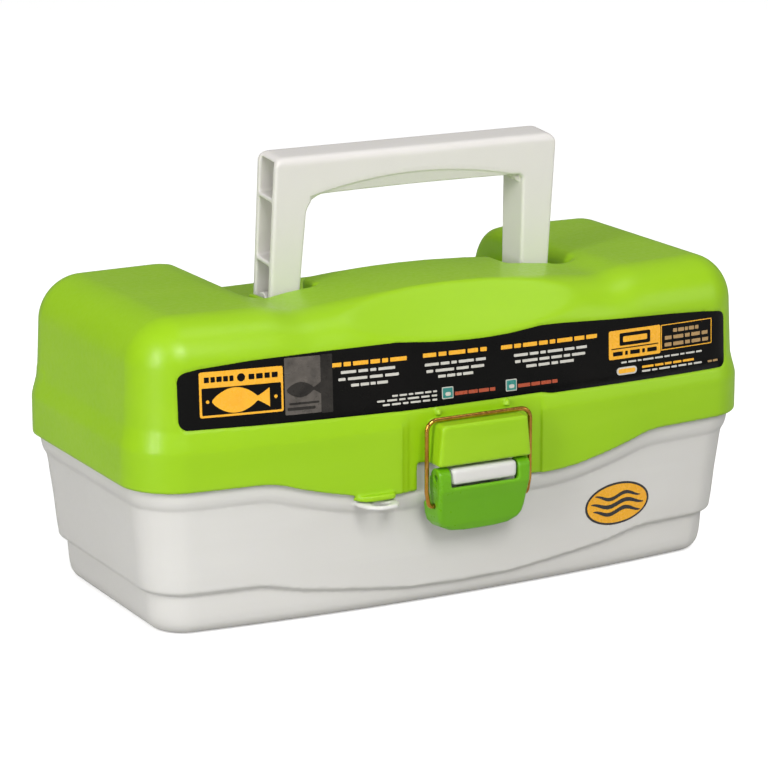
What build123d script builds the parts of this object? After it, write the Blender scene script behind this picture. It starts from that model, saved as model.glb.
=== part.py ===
from build123d import *
import os
from math import sqrt, sin, cos, radians, hypot

os.makedirs("parts", exist_ok=True)

# Fishing tackle box with one lift-out tray, closed, handle up. Millimetres.
# X runs to the right along the box, Y to the rear (the latch is at -Y), Z is up.
# The origin is on the table plane, under the centre of the plan rectangle.
# An axis or pivot that runs along X is given as its (y, z).

SIDES = ((-1, "left"), (1, "right"))

# ---- shell plan and heights ----
HALF_L = 168.5        # lid skirt, half length
HALF_D = 74.25        # lid skirt, half depth at the ends
FRONT_BOW = 11.66     # how far the front swells forward at the middle
REAR_BOW = 3.94       # how far the rear swells back at the middle
CORNER_R = 24.0       # plan corner radius of the skirt
CORNER_EASE = 0.5     # corner radius lost per millimetre of inset
WALL = 2.4
FLOOR_T = 3.0
SKIRT_Z = 74.0        # lower edge of the skirt at the sides and rear
RIM_TOP = 84.0        # top of the base rim, inside the lid
LID_TOP = 153.0
PIN_CLR = 0.05        # running clearance on radius

FRONT_R = (HALF_L**2 + FRONT_BOW**2) / (2 * FRONT_BOW)
REAR_R = (HALF_L**2 + REAR_BOW**2) / (2 * REAR_BOW)
FRONT_ARC_Y = -(HALF_D + FRONT_BOW) + FRONT_R
REAR_ARC_Y = (HALF_D + REAR_BOW) - REAR_R

# ---- hinge (spans are in |x|) ----
HINGE = HINGE_Y, HINGE_Z = 82.0, 74.0
HINGE_R, HINGE_PIN_R = 4.6, 2.0
KNUCKLE_CLR = 0.6
BASE_KNUCKLES = ((88.0, 99.0), (112.0, 123.0))
LID_KNUCKLE = (99.5, 111.5)

# ---- handle ----
HANDLE_PIVOT = HANDLE_Y, HANDLE_Z = -14.6, 144.0
HANDLE_LEAN = 5.4                     # degrees it leans forward
HANDLE_OUT, HANDLE_IN = 77.0, 59.8    # leg faces
HANDLE_H = 74.0                       # pivot to grip top
HANDLE_PIN_R = 2.5
HANDLE_PIN_X = (56.6, 81.0)

# ---- latch ----
LEVER_PIVOT = LEVER_Y, LEVER_Z = -92.5, 69.0
LEVER_EAR_R = 4.8
LATCH_PIN_R = 1.5
BAIL_PIVOT = BAIL_Y, BAIL_Z = -90.2, 54.7   # where the bail ends turn in the lever
BAIL_TOP = 96.7
BAIL_X = 28.2
WIRE_R = 1.3
EYE_X, EYE_Y, EYE_R = -52.0, -88.6, 3.4     # padlock eye

# ---- tray and its parallelogram of links ----
TRAY_X = 146.0
TRAY_Y0, TRAY_Y1 = -60.0, 60.0
TRAY_Z0, TRAY_Z1 = 38.0, 80.0
TRAY_LIP_H = 3.0
TRAY_LIP_OUT = 1.5
TRAY_WALL = 1.8
TRAY_FLOOR_T = 2.0
TRAY_IN_X = TRAY_X - TRAY_LIP_OUT - TRAY_WALL
TRAY_IN_Y0 = TRAY_Y0 + TRAY_LIP_OUT + TRAY_WALL
TRAY_IN_Y1 = TRAY_Y1 - TRAY_LIP_OUT - TRAY_WALL
MID_WALL = 0.8                        # half thickness of the wall along y = 0
TRAY_ROWS = (("front", TRAY_IN_Y0, -MID_WALL), ("rear", MID_WALL, TRAY_IN_Y1))
DIVIDER_X = (-72.0, 0.0, 72.0)
DIVIDER_T = 1.4
LINK_L = 60.0
LINK_DROP = radians(20)               # slope of the hinge-to-tray link
LINK_R = 6.0
REAR_PIVOT = (HINGE_Y - LINK_L * cos(LINK_DROP), HINGE_Z - LINK_L * sin(LINK_DROP))
PIVOT_STEP = (-55.0, -10.0)           # from a rear pivot to its front partner
FRONT_PIVOT = (REAR_PIVOT[0] + PIVOT_STEP[0], REAR_PIVOT[1] + PIVOT_STEP[1])
BASE_PIVOT = (HINGE_Y + PIVOT_STEP[0], HINGE_Z + PIVOT_STEP[1])
STUD_R = 2.5
FOOT_Y = (44.0, 60.0)                 # bracket foot
FOOT_Z = (92.5, 107.5)
SCREW_Y = (48.0, 56.0)
SCREW_Z = 100.0
SCREW_R = 1.5

# ---- shell stations: (z, inset from the skirt outline) ----
BASE_OUTER = [
    (0.0, 20.0), (1.0, 17.6), (3.2, 15.7), (8.5, 14.25), (20.0, 13.1), (23.5, 10.3),
    (45.0, 8.0), (64.0, 5.6), (72.5, 3.0), (RIM_TOP, 3.0)]
BASE_INNER = [
    (FLOOR_T, 19.5), (5.0, 17.6), (9.0, 16.65), (20.6, 15.5), (24.1, 12.7),
    (45.0, 10.4), (64.0, 8.0), (72.5, 5.4), (RIM_TOP + 1, 5.4)]
LID_OUTER = [
    (56.0, 0.0), (93.0, 0.1), (95.4, 0.6), (98.3, 1.3), (103.4, 2.5), (120.0, 3.3),
    (131.0, 3.75), (135.5, 4.6), (140.0, 6.0), (144.5, 8.6), (148.0, 11.8),
    (150.6, 15.4), (152.3, 19.3), (LID_TOP, 24.0)]
LID_INNER = [
    (55.0, 2.4), (92.5, 2.5), (96.5, 3.4), (103.0, 4.9), (120.0, 5.7), (131.0, 6.3),
    (137.0, 8.0), (142.3, 11.0), (146.4, 15.2), (149.3, 20.5), (150.6, 26.4)]
LABEL_SKIN = [row for row in LID_OUTER if 93.0 <= row[0] <= 140.0]
BADGE_SKIN = [(24.0, 10.2465), (45.0, 8.0), (50.0, 7.368)]

# ---- outlines ----
# wavy lower edge of the front skirt: (|x|, z)
WAVE = [(107.0, 74.0), (100.0, 72.8), (93.0, 70.6), (85.0, 68.3), (78.0, 66.6),
        (70.0, 64.8), (60.0, 62.8), (50.0, 61.6), (40.0, 61.2)]
# padlock tab on the base: (x, y)
TAB = [(-66.0, -76.0), (-65.0, -83.0), (-61.0, -89.5), (-57.5, -93.0), (-54.0, -94.6),
       (-49.0, -95.0), (-46.5, -94.2), (-45.0, -92.0), (-43.5, -85.0), (-42.5, -76.0)]
# lip on the lid over the tab: (x, y)
LIP = [(-63.0, -84.0), (-60.0, -86.6), (-55.0, -88.2), (-48.0, -88.6), (-43.5, -87.6),
       (-42.0, -84.0)]
# pocket for the front label: (x, z)
LABEL = [
    (-149.0, 106.5), (-146.0, 103.0), (-112.0, 102.2), (-77.0, 101.6), (-44.0, 101.1),
    (-39.0, 100.9), (39.0, 100.9), (44.0, 99.8), (130.0, 98.8), (148.5, 98.7),
    (152.0, 102.0), (152.2, 123.5), (149.2, 127.4), (137.5, 128.9), (114.7, 130.5),
    (85.0, 131.9), (56.6, 133.6), (39.2, 134.2), (20.0, 132.2), (0.0, 131.9),
    (-20.5, 132.9), (-39.5, 134.6), (-77.0, 134.4), (-112.7, 133.6), (-138.8, 131.8),
    (-145.5, 130.6), (-149.0, 127.0)]
# left half of the shallow dip in the lid top, outside and inside: (x, z)
DIP = [(-99.0, 156.0), (-99.0, 153.3), (-94.0, 152.2), (-89.5, 150.9), (-84.0, 150.1),
       (-78.0, 150.1)]
DIP_INNER = [(-102, 165), (-102, 150.2), (-90, 147.8), (-78, 147.5), (-53, 149.6)]
# lever seen from the side: (y, z)
LEVER_SIDE = [
    (-97.3, LEVER_Z), (-97.3, 43.6), (-95.6, 42.0), (-87.0, 42.0), (-82.6, 45.5),
    (-82.0, 47.0), (-82.0, 56.0), (-83.6, 57.6), (-87.7, 60.5), (-87.7, LEVER_Z)]
# left half of the lever seen from the front, and of its hollow: (x, z)
LEVER_FRONT = [(-24.8, 75.0), (-24.6, 69.0), (-22.8, 57.0), (-20.6, 48.5), (-18.0, 45.0),
               (-13.0, 43.0), (-6.0, 42.0)]
LEVER_HOLLOW = [(-18.4, 90.0), (-18.4, 64.2), (-21.9, 63.9), (-20.4, 56.5),
                (-18.3, 49.0), (-14.0, 46.0)]


# ---- helpers ----
def corner_arc(corner_x, radius, arc_y, arc_r, toward):
    """Centre y, tangent point and mid point of a right-hand plan corner."""
    y = arc_y + toward * sqrt((arc_r - radius) ** 2 - corner_x**2)
    scale = arc_r / (arc_r - radius)
    tangent = (corner_x * scale, arc_y + (y - arc_y) * scale)
    mid_x, mid_y = 1.0 + (tangent[0] - corner_x) / radius, (tangent[1] - y) / radius
    length = hypot(mid_x, mid_y)
    return y, tangent, (corner_x + radius * mid_x / length, y + radius * mid_y / length)


def section(inset, z):
    """Plan outline at an inset from the skirt, as a closed wire at height z."""
    radius = CORNER_R - CORNER_EASE * inset
    end_x = HALF_L - inset
    front_r, rear_r = FRONT_R - inset, REAR_R - inset
    corner_x = end_x - radius
    front_y, front, front_mid = corner_arc(corner_x, radius, FRONT_ARC_Y, front_r, -1)
    rear_y, rear, rear_mid = corner_arc(corner_x, radius, REAR_ARC_Y, rear_r, 1)

    def at(x, y):
        return Vector(x, y, z)

    return Wire([
        ThreePointArc(at(-front[0], front[1]), at(0, FRONT_ARC_Y - front_r), at(*front)),
        ThreePointArc(at(*front), at(*front_mid), at(end_x, front_y)),
        Line(at(end_x, front_y), at(end_x, rear_y)),
        ThreePointArc(at(end_x, rear_y), at(*rear_mid), at(*rear)),
        ThreePointArc(at(*rear), at(0, REAR_ARC_Y + rear_r), at(-rear[0], rear[1])),
        ThreePointArc(at(-rear[0], rear[1]), at(-rear_mid[0], rear_mid[1]),
                      at(-end_x, rear_y)),
        Line(at(-end_x, rear_y), at(-end_x, front_y)),
        ThreePointArc(at(-end_x, front_y), at(-front_mid[0], front_mid[1]),
                      at(-front[0], front[1])),
    ])


def loft_z(rows, offset=0.0):
    """Ruled body through (z, inset) rows, each inset changed by offset."""
    return Solid.make_loft([section(inset + offset, z) for z, inset in rows], True)


# side=-1 mirrors the x span of a shape to the left
def box(x0, x1, y0, y1, z0, z1, side=1):
    x0, x1 = sorted((side * x0, side * x1))
    centre = Pos((x0 + x1) / 2, (y0 + y1) / 2, (z0 + z1) / 2)
    return centre * Box(x1 - x0, y1 - y0, z1 - z0)


def cyl_x(x0, x1, axis, radius, side=1):
    centre = Pos(side * (x0 + x1) / 2, *axis)
    return centre * Rot(0, 90, 0) * Cylinder(radius, abs(x1 - x0))


def cyl_z(x, y, z0, z1, radius):
    return Pos(x, y, (z0 + z1) / 2) * Cylinder(radius, z1 - z0)


def extruded(points, travel):
    return Solid.extrude(Face(Wire.make_polygon(points, close=True)), travel)


def prism_xz(points, y0, y1):
    return extruded([Vector(x, y0, z) for x, z in points], Vector(0, y1 - y0, 0))


def prism_yz(points, x0, x1, side=1):
    x0, x1 = sorted((side * x0, side * x1))
    return extruded([Vector(x0, y, z) for y, z in points], Vector(x1 - x0, 0, 0))


def prism_xy(points, z0, z1):
    return extruded([Vector(x, y, z0) for x, y in points], Vector(0, 0, z1 - z0))


def mirror_x(points):
    """The points mirrored in x, in reverse order."""
    return [(-x, other) for x, other in reversed(points)]


def one(shape):
    """The single (largest) solid of a boolean result."""
    if isinstance(shape, Solid):
        return shape
    solids = shape.solids()
    solids.sort(key=lambda solid: -solid.volume)
    return solids[0]


def save(name, shape):
    shape.label = name
    export_step(shape, "parts/" + name + ".step")


# ---- base shell ----
def base_hinge(base):
    for side, _ in SIDES:
        for x0, x1 in BASE_KNUCKLES:
            knuckle = cyl_x(x0, x1, HINGE, HINGE_R, side)
            knuckle = knuckle + prism_yz([
                (HINGE_Y + HINGE_R * 0.94, HINGE_Z - 1.6), (HINGE_Y - 3.4, HINGE_Z - 0.8),
                (HINGE_Y - 9.0, HINGE_Z - 0.8), (HINGE_Y - 10.0, HINGE_Z - 17.0),
                (HINGE_Y - 7.5, HINGE_Z - 17.0)], x0, x1, side)
            knuckle = knuckle - loft_z([(40.0, 9.5), (64.0, 6.5), (72.5, 4.4), (90.0, 4.4)])
            base = one(base + knuckle)
        base = one(base - cyl_x(87.0, 124.0, HINGE, HINGE_PIN_R, side))
        # room for the lid knuckle to swing
        base = one(base - cyl_x(LID_KNUCKLE[0] - 0.4, LID_KNUCKLE[1] + 0.4, HINGE,
                                HINGE_R + KNUCKLE_CLR, side))
    return base


def base_shell():
    base = one(loft_z(BASE_OUTER) - loft_z(BASE_INNER))
    # the rim steps back behind the latch channel
    rim_back = box(-40, 40, -95, -81.4, 60, 90)
    rim_pad = box(-43, 43, -82.0, -78.9, 58, RIM_TOP)
    base = one(base - rim_back)
    base = one(base + (rim_pad & loft_z([(50, 4.0), (RIM_TOP, 3.0)])) - rim_back)
    # bosses inside the end walls for the tray links
    boss_x = (155.6, 164.0)
    pivot_y, pivot_z = BASE_PIVOT
    for side, _ in SIDES:
        boss = cyl_x(*boss_x, BASE_PIVOT, 6.0, side)
        web = box(*boss_x, pivot_y - 1.2, pivot_y + 1.2, pivot_z - 22, pivot_z, side)
        keep = loft_z([(30.0, 9.0), (45.0, 8.2), (64.0, 5.8), (RIM_TOP, 3.2)])
        base = one(base + ((boss + web) & keep))
        base = one(base - cyl_x(150.0, 161.0, BASE_PIVOT, STUD_R, side))
    # tongue that carries the latch lever, with two ribs below
    tongue_x, tongue_half_h, root_y = 17.8, 3.6, -79.5
    tongue = cyl_x(-tongue_x, tongue_x, LEVER_PIVOT, 4.2) + box(
        -tongue_x, tongue_x, LEVER_Y, root_y, LEVER_Z - tongue_half_h, LEVER_Z + tongue_half_h)
    rib = [(LEVER_Y + 1, LEVER_Z - tongue_half_h), (root_y, LEVER_Z - tongue_half_h),
           (-79.0, LEVER_Z - 14)]
    tongue = tongue + prism_yz(rib, -14.0, -11.5) + prism_yz(rib, 11.5, 14.0)
    base = one(base + tongue)
    base = one(base - cyl_x(-24, 24, LEVER_PIVOT, LATCH_PIN_R))
    # padlock tab, left of the latch
    tab_z = (57.4, 60.0)
    tab = one(prism_xy(TAB, *tab_z) - loft_z([(50.0, 7.3), (70.0, 4.2)]))
    base = one(base + tab + box(-64, -44, -84.0, -78.8, *tab_z))
    base = one(base - cyl_z(EYE_X, EYE_Y, 50, 62, EYE_R))
    return base_hinge(base)


# ---- lid shell ----
def lid_body():
    """Lid with its recessed top, hollowed, still with a plain lower edge."""
    recess_x, recess_y, recess_z = 89.5, -26.0, 133.0
    hump_x, hump_y = 53.0, -8.0       # raised block at the front of the recess
    outer = loft_z(LID_OUTER)
    inner = loft_z(LID_INNER)
    # crowned deck between the handle legs
    crown_x = 78
    crown_top = [(x, 155.3 - 5.2 * (x / crown_x) ** 2)
                 for x in range(-crown_x, crown_x + 1, 6)]
    crown = prism_xz([(-crown_x, 140.0)] + crown_top + [(crown_x, 140.0)], -66, hump_y)
    outer = one(outer + (crown & (Pos(0, 0, 2.5) * loft_z(LID_OUTER[5:]))))
    # shallow dip beside the legs, faired into the raised ends
    dip = DIP + crown_top[1:-1] + mirror_x(DIP)
    outer = one(outer - prism_xz(dip + [(99.0, 165.0), (-99.0, 165.0)], -90, 100))
    recess = box(-recess_x, recess_x, recess_y, 130, recess_z, 170) - \
        box(-hump_x, hump_x, -40, hump_y, 100, 170)
    recess_shell = box(-recess_x - WALL, recess_x + WALL, recess_y - WALL, 130,
                       recess_z - WALL, 170) - \
        box(-hump_x + WALL, hump_x - WALL, -60, hump_y - WALL, 100, 170)
    dip_shell = prism_xz(DIP_INNER + mirror_x(DIP_INNER), -95, 100)
    lid = one(outer - recess)
    return one(lid - (inner - recess_shell - dip_shell))


def lid_front(lid):
    """Skirt edge, latch channel, catch block and padlock lip."""
    # skirt edge: wavy in front, flat at the sides and rear
    below_wave = [(-200, 20), (200, 20), (200, SKIRT_Z)] + WAVE + mirror_x(WAVE) + \
        [(-200, SKIRT_Z)]
    lid = one(lid - prism_xz(below_wave, -110, -60))
    lid = one(lid - box(-200, 200, -60.5, 120, 40, SKIRT_Z))
    # latch channel and the notch the lever sits in
    channel = [(-38.6, -90), (-38.6, -85.3), (-34.5, -83.9)]
    lid = one(lid + box(-39.5, 39.5, -84.6, -82.0, 61.2, 104.0))
    lid = one(lid - prism_xy(channel + mirror_x(channel), 50, 101.0))
    lid = one(lid - box(-29.5, 29.5, -100, -70, 50, 74.8))
    # catch block the bail hooks over
    catch = prism_xz([(-25.2, 75.0), (25.2, 75.0), (23.4, 93.4), (21.4, 95.1),
                      (-21.4, 95.1), (-23.4, 93.4)], -97.3, -83.0)
    front_edges = catch.edges().filter_by(lambda edge: edge.center().Y < -97.2)
    # if the fillet fails on the short corner edges, the block stays sharp
    try:
        catch = one(fillet(front_edges, 1.6))
    except Exception:
        pass
    lid = one(lid + catch)
    lid = one(lid - prism_xz([(-22.6, 77.4), (22.6, 77.4), (21.0, 92.8), (-21.0, 92.8)],
                             -94.9, -80.0))
    # nibs that keep the bail central
    for x in (-18.8, 18.8):
        nib = [(x - 1.7, 98.6), (x + 1.7, 98.6), (x + 0.8, 101.5), (x - 0.8, 101.5)]
        lid = one(lid + prism_xz(nib, -85.6, -83.2))
    # lip over the padlock tab
    lip = prism_xy(LIP, 61.3, 64.4) - cyl_z(EYE_X, EYE_Y, 55, 70, EYE_R + 0.8)
    return one(lid + lip)


def label_floor():
    """Lid body set in by the label thickness."""
    return loft_z(LABEL_SKIN, 0.5)


def lid_hinge(lid):
    for side, _ in SIDES:
        knuckle = cyl_x(*LID_KNUCKLE, HINGE, HINGE_R, side)
        knuckle = knuckle + prism_yz([
            (HINGE_Y + HINGE_R * 0.94, HINGE_Z + 1.6), (HINGE_Y - 7.5, HINGE_Z + 18.0),
            (HINGE_Y - 7.5, HINGE_Z + 1.0), (HINGE_Y - 3.0, HINGE_Z + 0.3)],
            *LID_KNUCKLE, side)
        knuckle = knuckle - loft_z([(60.0, 1.8), (93.0, 1.9), (103.0, 4.0)])
        lid = one(lid + knuckle)
        lid = one(lid - cyl_x(99.0, 112.0, HINGE, HINGE_PIN_R + PIN_CLR, side))
        # room for the base knuckles
        for x0, x1 in BASE_KNUCKLES:
            lid = one(lid - cyl_x(x0 - 0.5, x1 + 0.4, HINGE, HINGE_R + KNUCKLE_CLR, side))
    return lid


def lid_shell():
    lid = lid_front(lid_body())
    lid = one(lid - (prism_xz(LABEL, -100, -60) - label_floor()))
    # ribs that hold the handle pins
    rib = [(-26.5, 132.0), (-4.5, 132.0), (-7.5, 145.0), (-10.5, 148.2), (-19.0, 148.2),
           (-26.5, 148.2)]
    for side, _ in SIDES:
        for x0, x1 in ((55.6, 58.6), (78.9, 82.0)):
            lid = one(lid + prism_yz(rib, x0, x1, side))
        lid = one(lid - cyl_x(*HANDLE_PIN_X, HANDLE_PIVOT, HANDLE_PIN_R, side))
    lid = lid_hinge(lid)
    # pads inside the lid ends that take the tray brackets
    for side, _ in SIDES:
        pad = box(158.5, 166.0, *FOOT_Y, *FOOT_Z, side) & loft_z([(90.0, 1.5), (110.0, 3.6)])
        lid = one(lid + pad)
        for y in SCREW_Y:
            lid = one(lid - cyl_x(157.0, 163.0, (y, SCREW_Z), SCREW_R, side))
    return lid


# ---- label and badge ----
def lid_label():
    """Label set in its pocket, drawn in slightly toward the mean of its outline."""
    gap, half_width, half_height = 0.2, 146.0, 16.0
    mean_x = sum(x for x, z in LABEL) / len(LABEL)
    mean_z = sum(z for x, z in LABEL) / len(LABEL)
    outline = [(mean_x + (x - mean_x) * (1 - gap / half_width),
                mean_z + (z - mean_z) * (1 - gap / half_height)) for x, z in LABEL]
    return one((prism_xz(outline, -100, -60) & loft_z(LABEL_SKIN)) - label_floor())


def base_badge():
    """Plain raised oval on the front of the base, to the right."""
    centre_x, centre_z, radius_x, radius_z, thickness = 87.0, 36.5, 18.0, 9.5, 0.4
    oval = prism_xz([(centre_x + radius_x * cos(radians(angle)),
                      centre_z + radius_z * sin(radians(angle)))
                     for angle in range(0, 360, 6)], -100, -60)
    return one((oval & loft_z(BADGE_SKIN, -thickness)) - loft_z(BADGE_SKIN))


# ---- handle, built upright with its pivot at the origin ----
def leg_half(z):
    """Half depth of the handle, front to rear, at a height above the pivot."""
    return LEG_HALF + (GRIP_HALF - LEG_HALF) * z / HANDLE_H


LEG_HALF, GRIP_HALF = 9.7, 10.4       # half depth at the pivot and at the grip top
OPENING_H = HANDLE_H - 19.7           # pivot to the underside of the grip


def handle_frame():
    frame = prism_yz([(-LEG_HALF, 0), (LEG_HALF, 0), (GRIP_HALF, HANDLE_H),
                      (-GRIP_HALF, HANDLE_H)], -HANDLE_OUT, HANDLE_OUT)
    frame = one(frame + cyl_x(-HANDLE_OUT, HANDLE_OUT, (0, 0), LEG_HALF))
    top = frame.edges().filter_by(Axis.X).filter_by(lambda e: e.center().Z > HANDLE_H - 1)
    frame = one(fillet(top, 4.0))
    # the opening has a large top left corner and a small top right one
    opening = box(-HANDLE_IN, HANDLE_IN, -20, 20, -20, OPENING_H)
    left = opening.edges().filter_by(Axis.Y).filter_by(
        lambda e: e.center().Z > OPENING_H - 1 and e.center().X < 0)
    opening = one(fillet(left, 9.5))
    right = opening.edges().filter_by(Axis.Y).filter_by(
        lambda e: e.center().Z > OPENING_H - 0.1 and e.center().X > HANDLE_IN - 0.1)
    opening = one(fillet(right, 3.0))
    frame = one(frame - opening)
    outline = box(-HANDLE_OUT, HANDLE_OUT, -20, 20, -20, HANDLE_H)
    top = outline.edges().filter_by(Axis.Y).filter_by(lambda e: e.center().Z > HANDLE_H - 1)
    return one(frame & one(fillet(top, 5.0)))


def finger_relief():
    """Tilted arched cutter, trimmed to bite into the lower front of the grip only."""
    half_x, tilt_z = 57, OPENING_H + 6.5
    arch = [(x, OPENING_H + 7.2 * (1 - (x / half_x) ** 2))
            for x in range(-half_x, half_x + 1, 6)]
    relief = prism_xz([(-half_x, OPENING_H - 3)] + arch + [(half_x, OPENING_H - 3)], -20, 0)
    relief = Pos(0, 0, tilt_z) * Rot(-9, 0, 0) * Pos(0, 0, -tilt_z) * relief
    return one(relief - box(-80, 80, -leg_half(tilt_z) + 0.9, 30, -5, 90))


def handle():
    body = handle_frame()
    # open channels in the two ends, parted by cross walls: (z0, z1, depth in x)
    wall_low, wall_high, half_wall, flange = 21.0, 52.5, 1.1, 3.4
    channels = ((-1.0, wall_low - half_wall, 15.0),
                (wall_low + half_wall, wall_high - half_wall, 15.0),
                (wall_high + half_wall, HANDLE_H - 2.6, 46.0))
    for side, _ in SIDES:
        for z0, z1, depth in channels:
            low, high = leg_half(max(z0, 0)) - flange, leg_half(z1) - flange
            body = one(body - prism_yz([(-low, z0), (low, z0), (high, z1), (-high, z1)],
                                       HANDLE_OUT - depth, HANDLE_OUT + 5, side))
        body = one(body + cyl_x(61.0, HANDLE_OUT, (0, 0), 5.2, side))
        body = one(body - cyl_x(-90, 90, (0, 0), HANDLE_PIN_R + PIN_CLR))
    relief = finger_relief()
    # if the cut fails, the grip stays plain
    try:
        body = one(body - relief)
    except Exception:
        pass
    return one(Pos(0, HANDLE_Y, HANDLE_Z) * Rot(HANDLE_LEAN, 0, 0) * body)


# ---- latch ----
def latch_lever():
    lever = prism_yz(LEVER_SIDE, -30, 30)
    lever = one(lever + cyl_x(-30, 30, LEVER_PIVOT, LEVER_EAR_R))
    front = LEVER_FRONT + [(0.0, 41.7)] + mirror_x(LEVER_FRONT)
    lever = one(lever & prism_xz(front, -110, -70))
    hollow_side = [(-94.9, 90.0), (-94.9, 44.6), (-60.0, 44.6), (-60.0, 90.0)]
    hollow_front = LEVER_HOLLOW + [(0.0, 44.4)] + mirror_x(LEVER_HOLLOW)
    lever = one(lever - (prism_yz(hollow_side, -30, 30) & prism_xz(hollow_front, -110, -50)))
    # notch between the ears, for the tongue
    notch = prism_xz([(-18.6, 90), (-18.3, 64.2), (18.3, 64.2), (18.6, 90)], -110, -60)
    lever = one(lever - notch)
    lever = one(lever - cyl_x(-23.6, 23.6, LEVER_PIVOT, LATCH_PIN_R + PIN_CLR))
    return one(lever - cyl_x(-30, 30, BAIL_PIVOT, WIRE_R + PIN_CLR))


def latch_bail():
    """Wire loop, swept from its right end round to its left."""
    end_x = 19.9
    right = [(end_x, BAIL_Z), (25.2, BAIL_Z), (BAIL_X, BAIL_Z + 7.5), (BAIL_X, BAIL_TOP)]
    path = FilletPolyline(*[Vector(x, BAIL_Y, z) for x, z in right + mirror_x(right)],
                          radius=2.4)
    wire = Plane(origin=(end_x, BAIL_Y, BAIL_Z), z_dir=(1, 0, 0)) * Circle(WIRE_R)
    return one(sweep(wire, path=path))


# ---- tray ----
def rounded_box(radius, *spans):
    """Box with its upright edges rounded."""
    block = box(*spans)
    return one(fillet(block.edges().filter_by(Axis.Z), radius))


def tray():
    lip_z, step = TRAY_Z1 - TRAY_LIP_H, TRAY_LIP_OUT
    body = rounded_box(6.0, -TRAY_X + step, TRAY_X - step, TRAY_Y0 + step, TRAY_Y1 - step,
                       TRAY_Z0, lip_z)
    body = one(body + rounded_box(7.0, -TRAY_X, TRAY_X, TRAY_Y0, TRAY_Y1, lip_z, TRAY_Z1))
    body = one(body - rounded_box(4.2, -TRAY_IN_X, TRAY_IN_X, TRAY_IN_Y0, TRAY_IN_Y1,
                                  TRAY_Z0 + TRAY_FLOOR_T, TRAY_Z1 + 5))
    body = one(body + box(-TRAY_IN_X - 0.5, TRAY_IN_X + 0.5, -MID_WALL, MID_WALL,
                          TRAY_Z0 + 1.0, TRAY_Z1 - 2.0))
    # pairs of guide ribs that hold the ends of each divider
    rib_half, rib_out, slack, root = 0.7, 1.4, 0.25, 0.3
    for divider_x in DIVIDER_X:
        for _, row_y0, row_y1 in TRAY_ROWS:
            for y0, y1 in ((row_y0 - root, row_y0 + rib_out),
                           (row_y1 - rib_out, row_y1 + root)):
                for face in (-1, 1):
                    x = divider_x + face * (DIVIDER_T / 2 + slack + rib_half)
                    body = one(body + box(x - rib_half, x + rib_half, y0, y1,
                                          TRAY_Z0 + 1.0, TRAY_Z1 - 4.0))
    # pivot bosses in the end walls
    for side, _ in SIDES:
        for pivot in (REAR_PIVOT, FRONT_PIVOT):
            body = one(body + cyl_x(TRAY_X - 4.0, TRAY_X - 0.2, pivot, 5.5, side))
            body = one(body - cyl_x(TRAY_X - 6.0, TRAY_X + 1, pivot, STUD_R, side))
    return body


def tray_divider(x, y0, y1):
    """Thin cross wall with a scoop in its top edge."""
    plate = box(x - DIVIDER_T / 2, x + DIVIDER_T / 2, y0 + 0.3, y1 - 0.3,
                TRAY_Z0 + TRAY_FLOOR_T, TRAY_Z1 - 4.5)
    return one(plate - cyl_x(x - 3, x + 3, ((y0 + y1) / 2, TRAY_Z1 + 1.5), 9.0))


# ---- tray links ----
def tray_arm(side):
    """Flat round-ended link from the base wall to the tray front."""
    x0, x1 = 152.0, 155.0
    (y0, z0), (y1, z1) = BASE_PIVOT, FRONT_PIVOT
    length = hypot(y1 - y0, z1 - z0)
    across_y, across_z = -(z1 - z0) / length * LINK_R, (y1 - y0) / length * LINK_R
    bar = prism_yz([(y0 + across_y, z0 + across_z), (y1 + across_y, z1 + across_z),
                    (y1 - across_y, z1 - across_z), (y0 - across_y, z0 - across_z)],
                   x0, x1, side)
    arm = one(bar + cyl_x(x0, x1, BASE_PIVOT, LINK_R, side)
              + cyl_x(x0, x1, FRONT_PIVOT, LINK_R, side))
    for pivot in (BASE_PIVOT, FRONT_PIVOT):
        arm = one(arm - cyl_x(x0 - 1, x1 + 1, pivot, STUD_R + PIN_CLR, side))
    return arm


def tray_bracket(side):
    """Bracket fixed to the lid, reaching down to the tray rear."""
    x0, x1 = 148.0, 150.2
    y, z = REAR_PIVOT
    plate = prism_yz([(y + 5.4, z - 2.6), (FOOT_Y[1], FOOT_Z[0]), (FOOT_Y[1], FOOT_Z[1]),
                      (FOOT_Y[0], FOOT_Z[1]), (y - 5.4, z + 2.6)], x0, x1, side)
    plate = plate + cyl_x(x0, x1, REAR_PIVOT, LINK_R, side)
    bracket = one(plate + box(150.0, 158.4, *FOOT_Y, *FOOT_Z, side))
    bracket = one(bracket - cyl_x(x0 - 1, x1 + 1, REAR_PIVOT, STUD_R + PIN_CLR, side))
    for y in SCREW_Y:
        bracket = one(bracket - cyl_x(147.0, 159.0, (y, SCREW_Z), SCREW_R + 0.2, side))
    return bracket


def bracket_screws(side):
    """Two screws through the bracket into the lid pad."""
    screws = []
    for y in SCREW_Y:
        axis = (y, SCREW_Z)
        screws.append(one(cyl_x(148.0, 162.8, axis, SCREW_R, side)
                          + cyl_x(146.6, 148.0, axis, 3.2, side)))
    return Compound(children=screws)


# studs: name, pivot, shank span in |x|, head span in |x|, head radius
STUDS = (
    ("arm_base_stud_", BASE_PIVOT, (151.8, 160.8), (151.15, 151.9), 4.2),
    ("arm_tray_stud_", FRONT_PIVOT, (140.5, 155.2), (155.1, 156.1), 3.6),
    ("bracket_tray_stud_", REAR_PIVOT, (140.5, 150.4), (150.25, 151.0), 4.2),
)

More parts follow.
